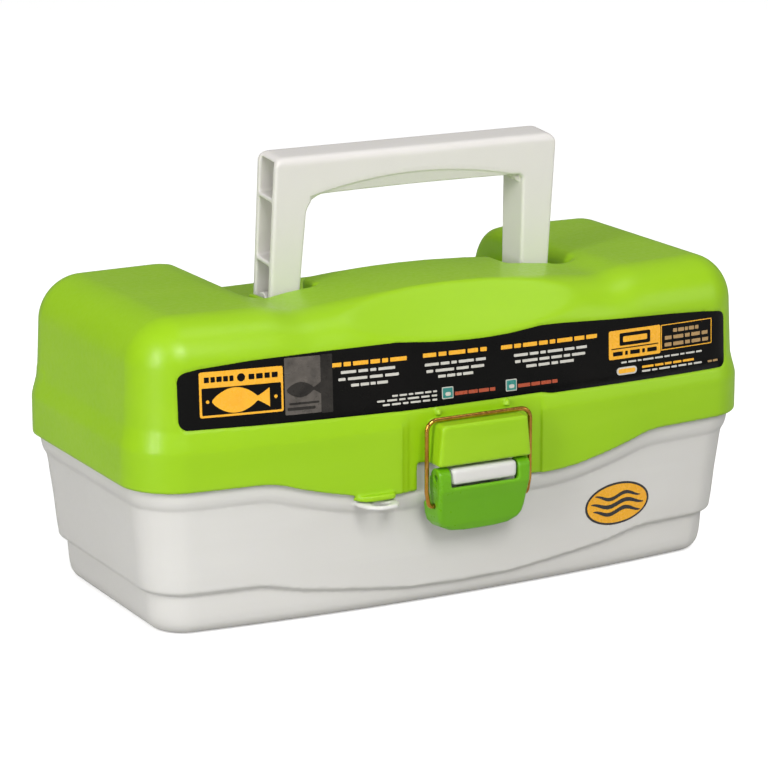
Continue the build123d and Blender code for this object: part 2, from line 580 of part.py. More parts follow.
# ---- write the pieces ----
for build in (base_shell, lid_shell, lid_label, base_badge, handle, latch_lever,
              latch_bail, tray):
    save(build.__name__, build())
save("latch_pin", one(cyl_x(-23.4, 23.4, LEVER_PIVOT, LATCH_PIN_R)))
for row_name, y0, y1 in TRAY_ROWS:
    for number, x in enumerate(DIVIDER_X, 1):
        save("tray_divider_%s_%d" % (row_name, number), tray_divider(x, y0, y1))
for side, side_name in SIDES:
    save("hinge_pin_" + side_name, one(cyl_x(87.6, 123.4, HINGE, HINGE_PIN_R, side)))
    save("handle_pin_" + side_name,
         one(cyl_x(*HANDLE_PIN_X, HANDLE_PIVOT, HANDLE_PIN_R, side)))
    for build in (tray_arm, tray_bracket, bracket_screws):
        save(build.__name__ + "_" + side_name, build(side))
    for name, pivot, shank, head, head_r in STUDS:
        stud = cyl_x(*shank, pivot, STUD_R, side) + cyl_x(*head, pivot, head_r, side)
        save(name + side_name, one(stud))
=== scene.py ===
"""Tackle box: moulded base and lid, latch, carrying handle, printed film and studio.

Shapes are worked out in millimetres and become metres when a mesh is made. The box is long
along X, its front faces -Y, and the base stands on Z = 0. The mouldings are fields sampled on
a grid, positive inside the material, so that zero is the surface.
"""
import math

import bpy
import bmesh
import numpy as np
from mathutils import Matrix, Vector


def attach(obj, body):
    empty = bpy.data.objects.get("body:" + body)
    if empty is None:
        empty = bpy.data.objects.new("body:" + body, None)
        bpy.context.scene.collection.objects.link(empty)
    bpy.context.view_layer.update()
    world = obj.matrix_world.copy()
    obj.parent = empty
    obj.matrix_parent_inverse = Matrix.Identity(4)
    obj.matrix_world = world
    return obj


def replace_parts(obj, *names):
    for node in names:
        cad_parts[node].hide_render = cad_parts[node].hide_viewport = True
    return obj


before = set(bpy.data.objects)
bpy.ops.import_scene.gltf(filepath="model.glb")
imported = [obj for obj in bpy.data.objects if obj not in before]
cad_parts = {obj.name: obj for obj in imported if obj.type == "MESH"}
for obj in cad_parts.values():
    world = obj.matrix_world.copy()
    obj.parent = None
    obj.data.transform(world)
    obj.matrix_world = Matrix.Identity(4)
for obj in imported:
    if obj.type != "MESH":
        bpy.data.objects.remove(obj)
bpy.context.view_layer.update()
COARSEN = 1
SHELL_STEP, LEVER_STEP, HANDLE_STEP = 1.0 * COARSEN, 0.5 * COARSEN, 0.6 * COARSEN
F32 = np.float32
MM = 0.001

# ---------------------------------------------------------------- plan and profile
# Outermost plan: straight ends, and front and rear walls bowed outwards as arcs.
HALF_LENGTH, HALF_DEPTH, CORNER_R = 168.5, 74.25, 24.0
FRONT_BOW, REAR_BOW = 11.66, 3.94
FRONT_R = (HALF_LENGTH**2 + FRONT_BOW**2) / (2 * FRONT_BOW)
REAR_R = (HALF_LENGTH**2 + REAR_BOW**2) / (2 * REAR_BOW)
FRONT_ARC_Y = -(HALF_DEPTH + FRONT_BOW) + FRONT_R
REAR_ARC_Y = (HALF_DEPTH + REAR_BOW) - REAR_R
WALL = 2.4

# Axes that run along X, as (y, z).
HINGE = (82.0, 74.0)
LEVER_AXIS = (-92.5, 69.0)
BAIL_AXIS = (-90.2, 54.7)
HANDLE_AXIS = (-14.6, 144.0)
BOSS_AXIS = (27.0, 64.0)

KNUCKLE_R, KNUCKLE_GAP_R, HINGE_BORE_R = 4.6, 5.2, 2.05
REAR_RIM_Z = HINGE[1]
REAR_LEDGE_Z = 22.0
BAND_H = 10.0  # height of the flared band under the rim of the base


def smooth_table(points, low, high, step=0.25, blur=1.0):
    """Lookup function through a slightly blurred polyline of (place, value) points."""
    places = np.arange(low, high + step, step)
    values = np.interp(places, *zip(*points))
    reach = max(1, int(round(blur / step)))
    kernel = np.hanning(2 * reach + 3)[1:-1]
    kernel /= kernel.sum()
    before = 2 * values[0] - values[reach:0:-1]
    after = 2 * values[-1] - values[-2:-reach - 2:-1]
    values = np.convolve(np.concatenate([before, values, after]), kernel, "valid")
    return lambda place: np.interp(place, places, values)


# Height of the front rim against distance from the middle.
RIM_Z = smooth_table(
    [(0, 61.2), (40, 61.2), (50, 61.6), (60, 62.8), (70, 64.8), (78, 66.6), (85, 68.3),
     (93, 70.6), (100, 72.8), (107, 74.0), (200, 74.0)], 0, 200, step=0.5, blur=5.0)
# Height of the ledge low on the front of the base against distance from the middle.
LEDGE_Z = smooth_table(
    [(0, 10.0), (30, 10.8), (44, 12.4), (51, 13.1), (57, 14.0), (63, 14.6), (70, 15.4),
     (76, 16.3), (82, 17.0), (88, 18.2), (94, 19.5), (100, 21.0), (107, 22.0), (200, 22.0)],
    0, 200, step=0.5, blur=3.0)
# Height of the lid's top against distance from the middle.
TOP_Z = smooth_table(
    [(0, 155.3), (20, 154.96), (40, 153.93), (60, 152.22), (72, 150.87), (80, 150.1),
     (85, 150.2), (90, 151.1), (95, 152.3), (100, 153.0), (110, 153.0), (200, 153.0)],
    0, 200, step=0.5, blur=4.0)
# Inset of the walls from the outermost plan against height.
LID_INSET = smooth_table(
    [(50, 0.0), (93, 0.05), (95.4, 0.6), (98.3, 1.35), (103.0, 2.45), (110, 2.85),
     (120, 3.3), (131, 3.75), (160, 4.9)], 50, 160, blur=1.2)
LOWER_INSET = smooth_table(
    [(-5, 16.6), (3, 15.6), (8.5, 14.5), (13.5, 14.1), (19, 13.8), (26, 13.3), (90, 6.0)],
    -5, 90, blur=1.5)
UPPER_INSET = smooth_table(
    [(0, 12.6), (24, 10.1), (29.5, 9.4), (35, 8.9), (40, 8.5), (45, 8.0), (50, 7.4),
     (55, 6.8), (60, 6.3), (65, 5.5), (90, 2.6)], 0, 90, blur=3.0)


# ---------------------------------------------------------------- fields
def meet(radius, *fields):
    """Intersection of fields, taken in order, with its edges rounded."""
    result = fields[0]
    for other in fields[1:]:
        deep, wide = np.maximum(radius - result, 0), np.maximum(radius - other, 0)
        result = np.where((deep > 0) & (wide > 0), radius - np.sqrt(deep * deep + wide * wide),
                          np.minimum(result, other)).astype(F32)
    return result


def join(radius, body, other):
    """Union with a filleted seam."""
    return -meet(radius, -body, -other)


def cut(radius, body, tool):
    """Body less tool, with a rounded edge."""
    return meet(radius, body, -tool)


def smoothstep(t):
    t = np.clip(t, 0, 1)
    return t * t * (3 - 2 * t)


def span(places, low, high):
    """Distance inside the slab from low to high."""
    return (high - low) / 2 - np.abs(places - (low + high) / 2)


def wall_field(x, y, inset):
    """Positive inside the plan outline at an inset."""
    radius = np.maximum(CORNER_R - 0.5 * inset, 9.0).astype(F32)
    ends = (HALF_LENGTH - np.abs(x) - inset).astype(F32)
    front = (FRONT_R - np.hypot(x, y - FRONT_ARC_Y) - inset).astype(F32)
    rear = (REAR_R - np.hypot(x, y - REAR_ARC_Y) - inset).astype(F32)
    return meet(radius, ends, front, rear)


def box_field(x, y, z, x_lim, y_lim, z_lim, radius):
    """Box with rounded edges."""
    over_x = -span(x, *x_lim) + radius
    over_y = -span(y, *y_lim) + radius
    over_z = -span(z, *z_lim) + radius
    outside = np.sqrt(np.maximum(over_x, 0) ** 2 + np.maximum(over_y, 0) ** 2
                      + np.maximum(over_z, 0) ** 2)
    inside = np.minimum(np.maximum(np.maximum(over_x, over_y), over_z), 0)
    return -(outside + inside - radius)


def off_axis(y, z, axis):
    """Distance from an axis along X."""
    return np.hypot(y - axis[0], z - axis[1])


def cylinder(x, y, z, x_lim, axis, radius, edge):
    """Cylinder along X with rounded rims."""
    return meet(edge, radius - off_axis(y, z, axis), span(x, *x_lim))


def polygon(u, v, points, grow=0.0):
    """Signed distance to a closed polygon in a plane, positive inside, moved out by grow."""
    points = np.asarray(points, float)
    u, v = np.broadcast_arrays(u, v)
    nearest = np.full(u.shape, 1e9)
    inside = np.zeros(u.shape, bool)
    for start, end in zip(points, np.roll(points, -1, axis=0)):
        edge_u, edge_v = end[0] - start[0], end[1] - start[1]
        from_u, from_v = u - start[0], v - start[1]
        along = (from_u * edge_u + from_v * edge_v) / (edge_u * edge_u + edge_v * edge_v)
        along = np.clip(along, 0, 1)
        gap = (from_u - edge_u * along) ** 2 + (from_v - edge_v * along) ** 2
        nearest = np.minimum(nearest, gap)
        if abs(edge_v) > 1e-12:
            crosses = (start[1] > v) != (end[1] > v)
            inside ^= crosses & (u < edge_u * (v - start[1]) / edge_v + start[0])
    return (np.where(inside, 1, -1) * np.sqrt(nearest) + grow).astype(F32)


def both_sides(half):
    """Outline from -X to +X, from points of the +X half listed towards the middle."""
    return [(-x, z) for x, z in half] + [(x, z) for x, z in half[::-1] if x]


class Grid:
    """Regular grid of places. A half grid covers only +X until mirror() is called."""

    def __init__(self, x_lim, y_lim, z_lim, step, half=False):
        self.step = step
        if half:
            self.xs = (np.arange(int(x_lim[1] / step) + 2) + 0.5) * step
        else:
            self.xs = np.arange(x_lim[0], x_lim[1] + step, step)
        self.ys = np.arange(y_lim[0], y_lim[1] + step, step)
        self.zs = np.arange(z_lim[0], z_lim[1] + step, step)

    def axes(self):
        return (self.xs[:, None, None].astype(F32), self.ys[None, :, None].astype(F32),
                self.zs[None, None, :].astype(F32))

    def mirror(self, field):
        self.xs = np.concatenate([-self.xs[::-1], self.xs])
        return np.concatenate([field[::-1], field])

    def window(self, region):
        """Slices that cover region = (x low, x high, y low, y high, z low, z high)."""
        limits = (region[0:2], region[2:4], region[4:6])
        return tuple(slice(*np.searchsorted(places, limit))
                     for places, limit in zip((self.xs, self.ys, self.zs), limits))

    def local(self, field, region, shape):
        """Apply shape(field, x, y, z) in place, inside the region only."""
        part = self.window(region)
        x, y, z = self.axes()
        field[part] = shape(field[part], x[part[0]], y[:, part[1]], z[:, :, part[2]])
        return field

    def mesh(self, field):
        """Surface nets: a point in each cell the surface crosses, and quads between them."""
        field = field.astype(F32)
        for axis in range(3):
            planes = np.moveaxis(field, axis, 0)
            planes[0] = -1
            planes[-1] = -1
        field[np.abs(field) < 1e-4] = 1e-4
        inside = field > 0
        size = np.array(field.shape) - 1
        corners = [(i, j, k) for k in (0, 1) for j in (0, 1) for i in (0, 1)]
        edges = [(i, i + bit) for bit in (1, 2, 4) for i in range(8) if not i & bit]
        filled = np.zeros(size, np.int8)
        for i, j, k in corners:
            filled += inside[i:size[0] + i, j:size[1] + j, k:size[2] + k]
        active = (filled > 0) & (filled < 8)
        cells = np.nonzero(active)
        count = len(cells[0])
        number = np.full(active.shape, -1, np.int32)
        number[cells] = np.arange(count, dtype=np.int32)

        total, hits = np.zeros((count, 3)), np.zeros(count)
        values = [field[cells[0] + i, cells[1] + j, cells[2] + k] for i, j, k in corners]
        for start, end in edges:
            crossed = (values[start] > 0) != (values[end] > 0)
            first, last = values[start][crossed], values[end][crossed]
            along = first / (first - last)
            origin, target = np.array(corners[start], float), np.array(corners[end], float)
            total[crossed] += origin + along[:, None] * (target - origin)
            hits[crossed] += 1
        points = np.stack(cells, 1) + total / hits[:, None]

        quads = []
        for axis in range(3):
            low = tuple(slice(0, -1) if i == axis else slice(1, -1) for i in range(3))
            high = tuple(slice(1, None) if i == axis else slice(1, -1) for i in range(3))
            near, far = inside[low], inside[high]
            second, third = (axis + 1) % 3, (axis + 2) % 3
            for leaving in (True, False):
                place = list(np.nonzero((near & ~far) if leaving else (~near & far)))
                ring = []
                # The inner slices start at 1, so an offset of 1 is the crossed edge's own cell.
                for shift_second, shift_third in ((0, 0), (1, 0), (1, 1), (0, 1)):
                    cell = list(place)
                    cell[second] = cell[second] + shift_second
                    cell[third] = cell[third] + shift_third
                    ring.append(number[tuple(cell)])
                quad = np.stack(ring, 1)
                quads.append(quad if leaving else quad[:, ::-1])
        corner = np.array([self.xs[0], self.ys[0], self.zs[0]])
        return corner + self.snap(field, points) * self.step, np.concatenate(quads)

    @staticmethod
    def snap(field, points):
        """Two Newton steps onto the zero of the trilinear field, in cells."""
        top = np.array(field.shape) - 2

        def sample(places):
            cell = np.clip(np.floor(places).astype(int), 0, top)
            i, j, k = cell.T
            part_x, part_y, part_z = np.clip(places - cell, 0, 1).T

            def row(dj, dk):
                return (field[i, j + dj, k + dk] * (1 - part_x)
                        + field[i + 1, j + dj, k + dk] * part_x)
            low = row(0, 0) * (1 - part_y) + row(1, 0) * part_y
            high = row(0, 1) * (1 - part_y) + row(1, 1) * part_y
            return low * (1 - part_z) + high * part_z

        for _ in range(2):
            value = sample(points)
            slope = np.stack([sample(points + half) - sample(points - half)
                              for half in np.eye(3) * 0.5], 1)
            steep = (slope * slope).sum(1)
            move = np.where(steep > 1e-6, value / np.maximum(steep, 1e-6), 0)
            length = np.abs(move) * np.sqrt(steep)
            limit = np.minimum(1.0, 0.4 / np.maximum(length, 1e-9))
            points = points - (move * limit)[:, None] * slope
        return points


def add_piece(name, points, faces, body, slot, material, sharp=None):
    """Smooth mesh object from millimetre points, riding on a body."""
    mesh = bpy.data.meshes.new(name)
    points = np.asarray(points, float) * MM
    if isinstance(faces, np.ndarray):
        count, sides = faces.shape
        mesh.vertices.add(len(points))
        mesh.vertices.foreach_set("co", points.astype(F32).ravel())
        mesh.loops.add(count * sides)
        mesh.loops.foreach_set("vertex_index", faces.astype(np.int32).ravel())
        mesh.polygons.add(count)
        mesh.polygons.foreach_set("loop_start", (np.arange(count) * sides).astype(np.int32))
        mesh.update(calc_edges=True)
    else:
        mesh.from_pydata([tuple(point) for point in points], [],
                         [tuple(int(i) for i in face) for face in faces])
        mesh.update()
    mesh.polygons.foreach_set("use_smooth", np.ones(len(mesh.polygons), bool))
    piece = bpy.data.objects.new(name, mesh)
    bpy.context.scene.collection.objects.link(piece)
    if sharp:
        mesh.set_sharp_from_angle(angle=math.radians(sharp))
    mesh.materials.append(material)
    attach(piece, body)
    return piece


# ---------------------------------------------------------------- materials
def srgb(rgb):
    """Linear RGBA from 0-255 sRGB."""
    shares = [value / 255 for value in rgb]
    return tuple(share / 12.92 if share <= 0.04045 else ((share + 0.055) / 1.055) ** 2.4
                 for share in shares) + (1.0,)


class MatTree:
    """Small builder for a material around one Principled shader."""

    def __init__(self, name):
        self.material = bpy.data.materials.new(name)
        self.material.use_nodes = True
        self.tree = self.material.node_tree
        self.tree.nodes.clear()
        output = self.tree.nodes.new("ShaderNodeOutputMaterial")
        self.bsdf = self.tree.nodes.new("ShaderNodeBsdfPrincipled")
        self.tree.links.new(self.bsdf.outputs[0], output.inputs[0])
        self.coord = self.tree.nodes.new("ShaderNodeTexCoord").outputs["Object"]

    def put(self, node, key, value):
        """Link or set one input, by name or index."""
        socket = node.inputs[key]
        if isinstance(value, bpy.types.NodeSocket):
            self.tree.links.new(value, socket)
        else:
            socket.default_value = value

    def node(self, kind, **inputs):
        node = self.tree.nodes.new(kind)
        for key, value in inputs.items():
            self.put(node, key, value)
        return node

    def noise(self, scale, detail=3.0, rough=0.55, stretch=None, distort=0.0):
        vector = self.coord
        if stretch:
            vector = self.node("ShaderNodeMapping", Vector=vector, Scale=stretch).outputs[0]
        return self.node("ShaderNodeTexNoise", Vector=vector, Scale=scale, Detail=detail,
                         Roughness=rough, Distortion=distort).outputs[0]

    def remap(self, value, low, high, to_low=0.0, to_high=1.0):
        node = self.node("ShaderNodeMapRange", Value=value)
        for key, limit in (("From Min", low), ("From Max", high),
                           ("To Min", to_low), ("To Max", to_high)):
            self.put(node, key, limit)
        return node.outputs[0]

    def math(self, operation, first, second):
        node = self.tree.nodes.new("ShaderNodeMath")
        node.operation = operation
        self.put(node, 0, first)
        self.put(node, 1, second)
        return node.outputs[0]

    def times(self, value, factor):
        return self.math("MULTIPLY", value, factor)

    def plus(self, value, extra):
        return self.math("ADD", value, extra)

    def mix(self, share, colour, other):
        node = self.tree.nodes.new("ShaderNodeMix")
        node.data_type = "RGBA"
        self.put(node, 0, share)
        self.put(node, 6, colour)
        self.put(node, 7, other)
        return node.outputs[2]

    def bump(self, height, strength, distance, normal=None):
        node = self.node("ShaderNodeBump", Height=height, Strength=strength, Distance=distance)
        if normal is not None:
            self.put(node, "Normal", normal)
        return node.outputs[0]

    def finish(self, **inputs):
        """Set the shader's inputs, with _ for spaces, and return the material."""
        for key, value in inputs.items():
            self.put(self.bsdf, key.replace("_", " "), value)
        return self.material


def plastic(name, base, deep, pale, rough, grain, sss=0.0):
    """Moulded plastic: soft tone drift, flow marks, fine texture, convex edges painted paler as
    a highlight and made smoother, scuffs.
    """
    base, deep, pale = srgb(base), srgb(deep), srgb(pale)
    mat = MatTree(name)
    drift = mat.noise(scale=9.0, detail=2.0, rough=0.5)
    flow = mat.noise(scale=26.0, stretch=(0.35, 1.0, 1.9), distort=0.6)
    speck = mat.noise(scale=2600.0, detail=2.0, rough=0.6)
    colour = mat.mix(mat.remap(drift, low=0.35, high=0.68, to_high=0.55), base, deep)
    flow_share = mat.times(mat.remap(flow, low=0.5, high=0.72), factor=0.1225)
    colour = mat.mix(flow_share, colour, pale)
    speck_share = mat.times(mat.remap(speck, low=0.3, high=0.75), factor=0.10)
    colour = mat.mix(speck_share, colour, deep)

    # Convex edges painted paler: a painted highlight along every edge, plus wear that is
    # stronger where scuffed; the same mask makes them smoother.
    pointiness = mat.node("ShaderNodeNewGeometry").outputs["Pointiness"]
    edge = mat.remap(pointiness, low=0.505, high=0.56)
    scuff = mat.remap(mat.noise(scale=190.0, detail=4.0, rough=0.62), low=0.52, high=0.66)
    edge_wear_and_highlight = mat.times(edge, mat.plus(mat.times(scuff, factor=0.5), extra=0.25))
    # Painted highlight and scuff wear: convex edges mixed towards the pale tone.
    colour = mat.mix(mat.times(edge_wear_and_highlight, factor=0.55), colour, pale)

    fine = mat.remap(mat.noise(scale=420.0), low=0.35, high=0.7, to_low=-0.05, to_high=0.05)
    broad = mat.remap(drift, low=0.3, high=0.7, to_low=rough - 0.03, to_high=rough + 0.04)
    roughness = mat.plus(mat.plus(broad, fine), mat.times(edge_wear_and_highlight, factor=-0.08))

    scratch = mat.noise(scale=70.0, detail=5.0, rough=0.7, stretch=(9.0, 0.8, 1.3))
    normal = mat.bump(speck, strength=0.10 * grain, distance=0.0003)
    normal = mat.bump(mat.noise(scale=900.0, rough=0.6), strength=0.10 * grain,
                      distance=0.0004, normal=normal)
    normal = mat.bump(mat.noise(scale=48.0, detail=2.0, rough=0.5), strength=0.05,
                      distance=0.0009, normal=normal)
    normal = mat.bump(mat.remap(scratch, low=0.62, high=0.74), strength=0.03,
                      distance=0.0002, normal=normal)
    return mat.finish(Base_Color=colour, Roughness=roughness, Normal=normal,
                      Specular_IOR_Level=0.42, Subsurface_Weight=sss,
                      Subsurface_Radius=(1.0, 1.0, 0.6), Subsurface_Scale=0.0022,
                      Coat_Roughness=0.22, Sheen_Weight=0.015, Sheen_Roughness=0.5)


def metal(name, base, dark, hot, rough, stretch=(0.25, 1.0, 1.0), scale=420.0):
    """Drawn wire or turned pin: lengthwise lines, tarnish, brighter rubbed spots."""
    mat = MatTree(name)
    lines = mat.noise(scale=scale, detail=4.0, rough=0.65, stretch=stretch)
    tarnish = mat.noise(scale=60.0, detail=4.0, rough=0.6)
    colour = mat.mix(mat.remap(tarnish, low=0.42, high=0.72), srgb(base), srgb(dark))
    colour = mat.mix(mat.times(mat.remap(lines, low=0.5, high=0.7), factor=0.5),
                     colour, srgb(hot))
    roughness = mat.plus(
        mat.remap(tarnish, low=0.3, high=0.7, to_low=rough - 0.05, to_high=rough + 0.12),
        mat.remap(lines, low=0.3, high=0.7, to_low=-0.04, to_high=0.06))
    normal = mat.bump(lines, strength=0.12, distance=0.0002)
    normal = mat.bump(mat.noise(scale=700.0, rough=0.6), strength=0.06, distance=0.0002,
                      normal=normal)
    return mat.finish(Base_Color=colour, Metallic=1.0, Roughness=roughness, Normal=normal)


def film(name, base, alt, rough, coat, scale, amount, spec=0.5):
    """Printed film: ink mottle of a scale and amount, faint halftone, rippled lacquer."""
    base, alt = srgb(base), srgb(alt)
    mat = MatTree(name)
    mottle = mat.noise(scale=scale, detail=4.0, rough=0.6)
    dots = mat.node("ShaderNodeTexVoronoi", Vector=mat.coord, Scale=1900.0).outputs["Distance"]
    colour = mat.mix(mat.times(mat.remap(mottle, low=0.42, high=0.7), factor=amount), base, alt)
    colour = mat.mix(mat.times(mat.remap(dots, low=0.2, high=0.7), factor=0.12), colour, alt)
    roughness = mat.plus(
        mat.remap(mat.noise(scale=300.0), low=0.3, high=0.7,
                  to_low=rough - 0.04, to_high=rough + 0.08), extra=0.0)
    normal = mat.bump(mat.noise(scale=60.0, detail=2.0, rough=0.5), strength=0.06,
                      distance=0.0006)
    normal = mat.bump(mat.noise(scale=1500.0, detail=2.0, rough=0.5), strength=0.04,
                      distance=0.0002, normal=normal)
    return mat.finish(Base_Color=colour, Roughness=roughness, Normal=normal, Coat_Weight=coat,
                      Coat_Roughness=0.12, Specular_IOR_Level=spec)


LID_GREEN = plastic("LidPlastic", base=(152, 200, 14), deep=(143, 192, 10),
                    pale=(176, 216, 52), rough=0.36, grain=0.5, sss=0.08)
LEVER_GREEN = plastic("LeverPlastic", base=(103, 171, 6), deep=(93, 160, 4),
                      pale=(128, 192, 34), rough=0.33, grain=0.5, sss=0.06)
BASE_WHITE = plastic("BasePlastic", base=(217, 216, 213), deep=(208, 206, 202),
                     pale=(229, 229, 226), rough=0.40, grain=0.55, sss=0.05)
HANDLE_WHITE = plastic("HandlePlastic", base=(224, 221, 218), deep=(214, 211, 207),
                       pale=(235, 233, 230), rough=0.38, grain=0.5, sss=0.05)
TRAY_WHITE = plastic("TrayPlastic", base=(218, 217, 210), deep=(208, 206, 198),
                     pale=(230, 229, 224), rough=0.42, grain=0.6, sss=0.05)
DIVIDER_WHITE = plastic("DividerPlastic", base=(224, 223, 218), deep=(212, 211, 205),
                        pale=(236, 236, 232), rough=0.34, grain=0.5, sss=0.08)
LINK_WHITE = plastic("LinkPlastic", base=(210, 209, 202), deep=(198, 196, 188),
                     pale=(226, 225, 220), rough=0.40, grain=0.6)
BRASS = metal("BrassWire", base=(214, 154, 68), dark=(160, 106, 42), hot=(246, 200, 116),
              rough=0.19, stretch=(1.0, 1.0, 0.2), scale=900.0)
STEEL = metal("PinSteel", base=(176, 178, 182), dark=(120, 122, 126), hot=(222, 224, 228),
              rough=0.28)
BLACK = film("LabelBlack", base=(5, 5, 5), alt=(18, 16, 15), rough=0.20, coat=0.04,
             scale=22.0, amount=0.5, spec=0.14)
AMBER = film("LabelAmber", base=(247, 180, 34), alt=(232, 160, 22), rough=0.25, coat=0.6,
             scale=90.0, amount=0.35)
PALE = film("LabelPale", base=(206, 204, 196), alt=(178, 176, 168), rough=0.3, coat=0.5,
            scale=260.0, amount=0.4)
TEAL = film("LabelTeal", base=(40, 132, 124), alt=(28, 112, 106), rough=0.28, coat=0.5,
            scale=200.0, amount=0.4)
UMBER = film("LabelUmber", base=(92, 86, 80), alt=(58, 54, 50), rough=0.28, coat=0.3,
             scale=160.0, amount=0.8)
SOOT = film("LabelSoot", base=(50, 47, 44), alt=(28, 26, 24), rough=0.28, coat=0.1,
            scale=160.0, amount=0.8, spec=0.2)
SAND = film("LabelSand", base=(176, 142, 92), alt=(150, 120, 78), rough=0.28, coat=0.4,
            scale=220.0, amount=0.4)
RUST = film("LabelRust", base=(176, 74, 40), alt=(150, 58, 30), rough=0.27, coat=0.4,
            scale=160.0, amount=0.5)
BADGE_AMBER = film("BadgeAmber", base=(244, 176, 28), alt=(228, 152, 16), rough=0.25,
                   coat=0.6, scale=70.0, amount=0.35)
BADGE_INK = film("BadgeInk", base=(26, 26, 28), alt=(48, 47, 46), rough=0.27, coat=0.6,
                 scale=90.0, amount=0.4)

PART_MATERIALS = {"base_shell": BASE_WHITE, "lid_shell": LID_GREEN, "handle": HANDLE_WHITE,
                  "latch_lever": LEVER_GREEN, "latch_bail": BRASS, "lid_label": BLACK,
                  "base_badge": BADGE_AMBER, "tray": TRAY_WHITE}


def part_material(name):
    """Material for a CAD part, by its name."""
    if name.startswith("tray_divider"):
        return DIVIDER_WHITE
    if name.startswith(("tray_arm", "tray_bracket")):
        return LINK_WHITE
    if any(word in name for word in ("pin", "screw", "stud")):
        return STEEL
    return PART_MATERIALS[name]


for part_name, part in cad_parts.items():
    if not part.material_slots:
        part.data.materials.append(part_material(part_name))
    for material_slot in part.material_slots:
        material_slot.material = part_material(part_name)

# ---------------------------------------------------------------- lid
# Shapes applied before mirror() see only x > 0. Each takes and returns a field.
# Label outline on the front wall: (x, z).
LABEL_OUTLINE = [
    (-149.0, 106.5), (-146.0, 103.0), (-112.0, 102.2), (-77.0, 101.6), (-44.0, 101.1),
    (-39.0, 100.9), (39.0, 100.9), (44.0, 99.8), (130.0, 98.8), (148.5, 98.7), (152.0, 102.0),
    (152.2, 123.5), (149.2, 127.4), (137.5, 128.9), (114.7, 130.5), (85.0, 131.9),
    (56.6, 133.6), (39.2, 134.2), (20.0, 132.2), (0.0, 131.9), (-20.5, 132.9), (-39.5, 134.6),
    (-77.0, 134.4), (-112.7, 133.6), (-138.8, 131.8), (-145.5, 130.6), (-149.0, 127.0)]
# Rib and hinge web sections: (y, z). Lip on the front rim in plan: (x, y).
LID_RIB = [(-26.5, 130.8), (-4.5, 130.8), (-7.5, 145.0), (-10.5, 148.2), (-19.0, 148.2),
           (-26.5, 148.2)]
LID_WEB = [(86.3, 75.6), (74.5, 92.0), (74.5, 75.0), (79.0, 74.3)]
LID_LIP = [(-63.5, -83.0), (-60.0, -86.9), (-56.0, -88.4), (-48.0, -88.7), (-43.6, -88.0),
           (-41.6, -83.0)]
CHANNEL_Y = -83.9  # face of the shallow channel in the middle of the front wall
CHANNEL_REGION = (30, 45, -95, -78, 55, 106)
PAD_REGION = (156, 168, 40, 64, 90, 110)


def lid_wall(x, y, z):
    return wall_field(x, y, LID_INSET(z).astype(F32))


def lid_outer(x, y, z):
    """Outer skin: bowed walls, rounded top and a sloped face along its front edge."""
    top = (TOP_Z(np.abs(x)) - z).astype(F32)
    slope = 152.0 + 4.9 * (x / 78.0) ** 2 - 0.70711 * (z - y)
    return meet(1.0, meet(22.0, lid_wall(x, y, z), top), slope)


def lid_recess(field, x, y, z):
    """Sunken area of the top, around a raised block at the front middle."""
    block = meet(4.0, 53.0 - x, -8.0 - y)
    plan = cut(2.0, meet(3.5, 89.5 - x, y + 26.0), block)
    edge = 2.4 + 2.8 * smoothstep((x - 72.0) / 12.0)
    return cut(edge, field, meet(1.6, plan, z - 133.0))


def lid_channel(field, x, y, z):
    half_width = 38.6 - np.clip((y + 85.3) * 2.9, 0, 4.1)
    tool = meet(0.8, meet(2.5, half_width - x, 101.0 - z), CHANNEL_Y - y)
    return cut(0.9, field, tool)


def lid_step(field, x, y, z):
    """Crisp edge just inside the channel's."""
    tool = meet(0.3, meet(2.0, 38.4 - np.abs(x), 100.8 - z), CHANNEL_Y - y)
    return cut(0.4, field, tool)


def lid_notch(field, x, y, z):
    """Opening up from the rim in the middle of the front."""
    tool = meet(0.3, meet(1.2, 29.5 - x, 74.8 - z), -70.0 - y)
    return cut(0.7, field, tool)


def lid_catch(field, x, y, z):
    """Block above the notch, with a pocket sunk in its front."""
    half_width = 25.2 - 1.8 * np.clip((z - 75.0) / 18.0, 0, 1)
    block = meet(1.9, half_width - x, 95.1 - z)
    block = meet(1.3, meet(0.9, block, z - 75.0), y + 97.3)
    field = join(1.0, field, np.minimum(block, -82.4 - y))
    pocket_half = 22.6 - 1.6 * (z - 77.4) / 15.4
    pocket = meet(1.0, pocket_half - x, 92.8 - z, z - 77.4)
    pocket = meet(0.8, pocket, y + 94.9)
    return cut(0.5, field, np.minimum(pocket, -80.0 - y))


def lid_nibs(field, x, y, z):
    """Small tapered nibs above the catch, one on each side."""
    nib = meet(0.5, 1.5 - 0.24 * (z - 97.6) - np.abs(x - 18.8), 102.4 - z, z - 97.4,
               y + 86.0 - 0.25 * (z - 98.0))
    return join(0.5, field, np.minimum(nib, -82.0 - y))


def lid_ribs(field, x, y, z):
    section = polygon(y, z, LID_RIB)
    for low, high in ((55.6, 58.6), (78.9, 82.0)):
        field = join(0.8, field, meet(0.8, section, span(x, low, high)))
    return field


def lid_knuckle(field, x, y, z):
    """Hinge knuckle with its web, room for the base's knuckles and the pin bore."""
    limits = (99.5, 111.5)
    web = meet(0.5, polygon(y, z, LID_WEB), span(x, *limits))
    knuckle = join(1.2, cylinder(x, y, z, limits, HINGE, KNUCKLE_R, 0.5), web)
    field = join(1.0, field, np.minimum(knuckle, WALL - lid_wall(x, y, z)))
    for gap in ((87.5, 99.4), (111.6, 123.4)):
        field = np.minimum(field, -cylinder(x, y, z, gap, HINGE, KNUCKLE_GAP_R, 0.3))
    return np.minimum(field, -cylinder(x, y, z, (99.0, 112.0), HINGE, HINGE_BORE_R, 0.1))


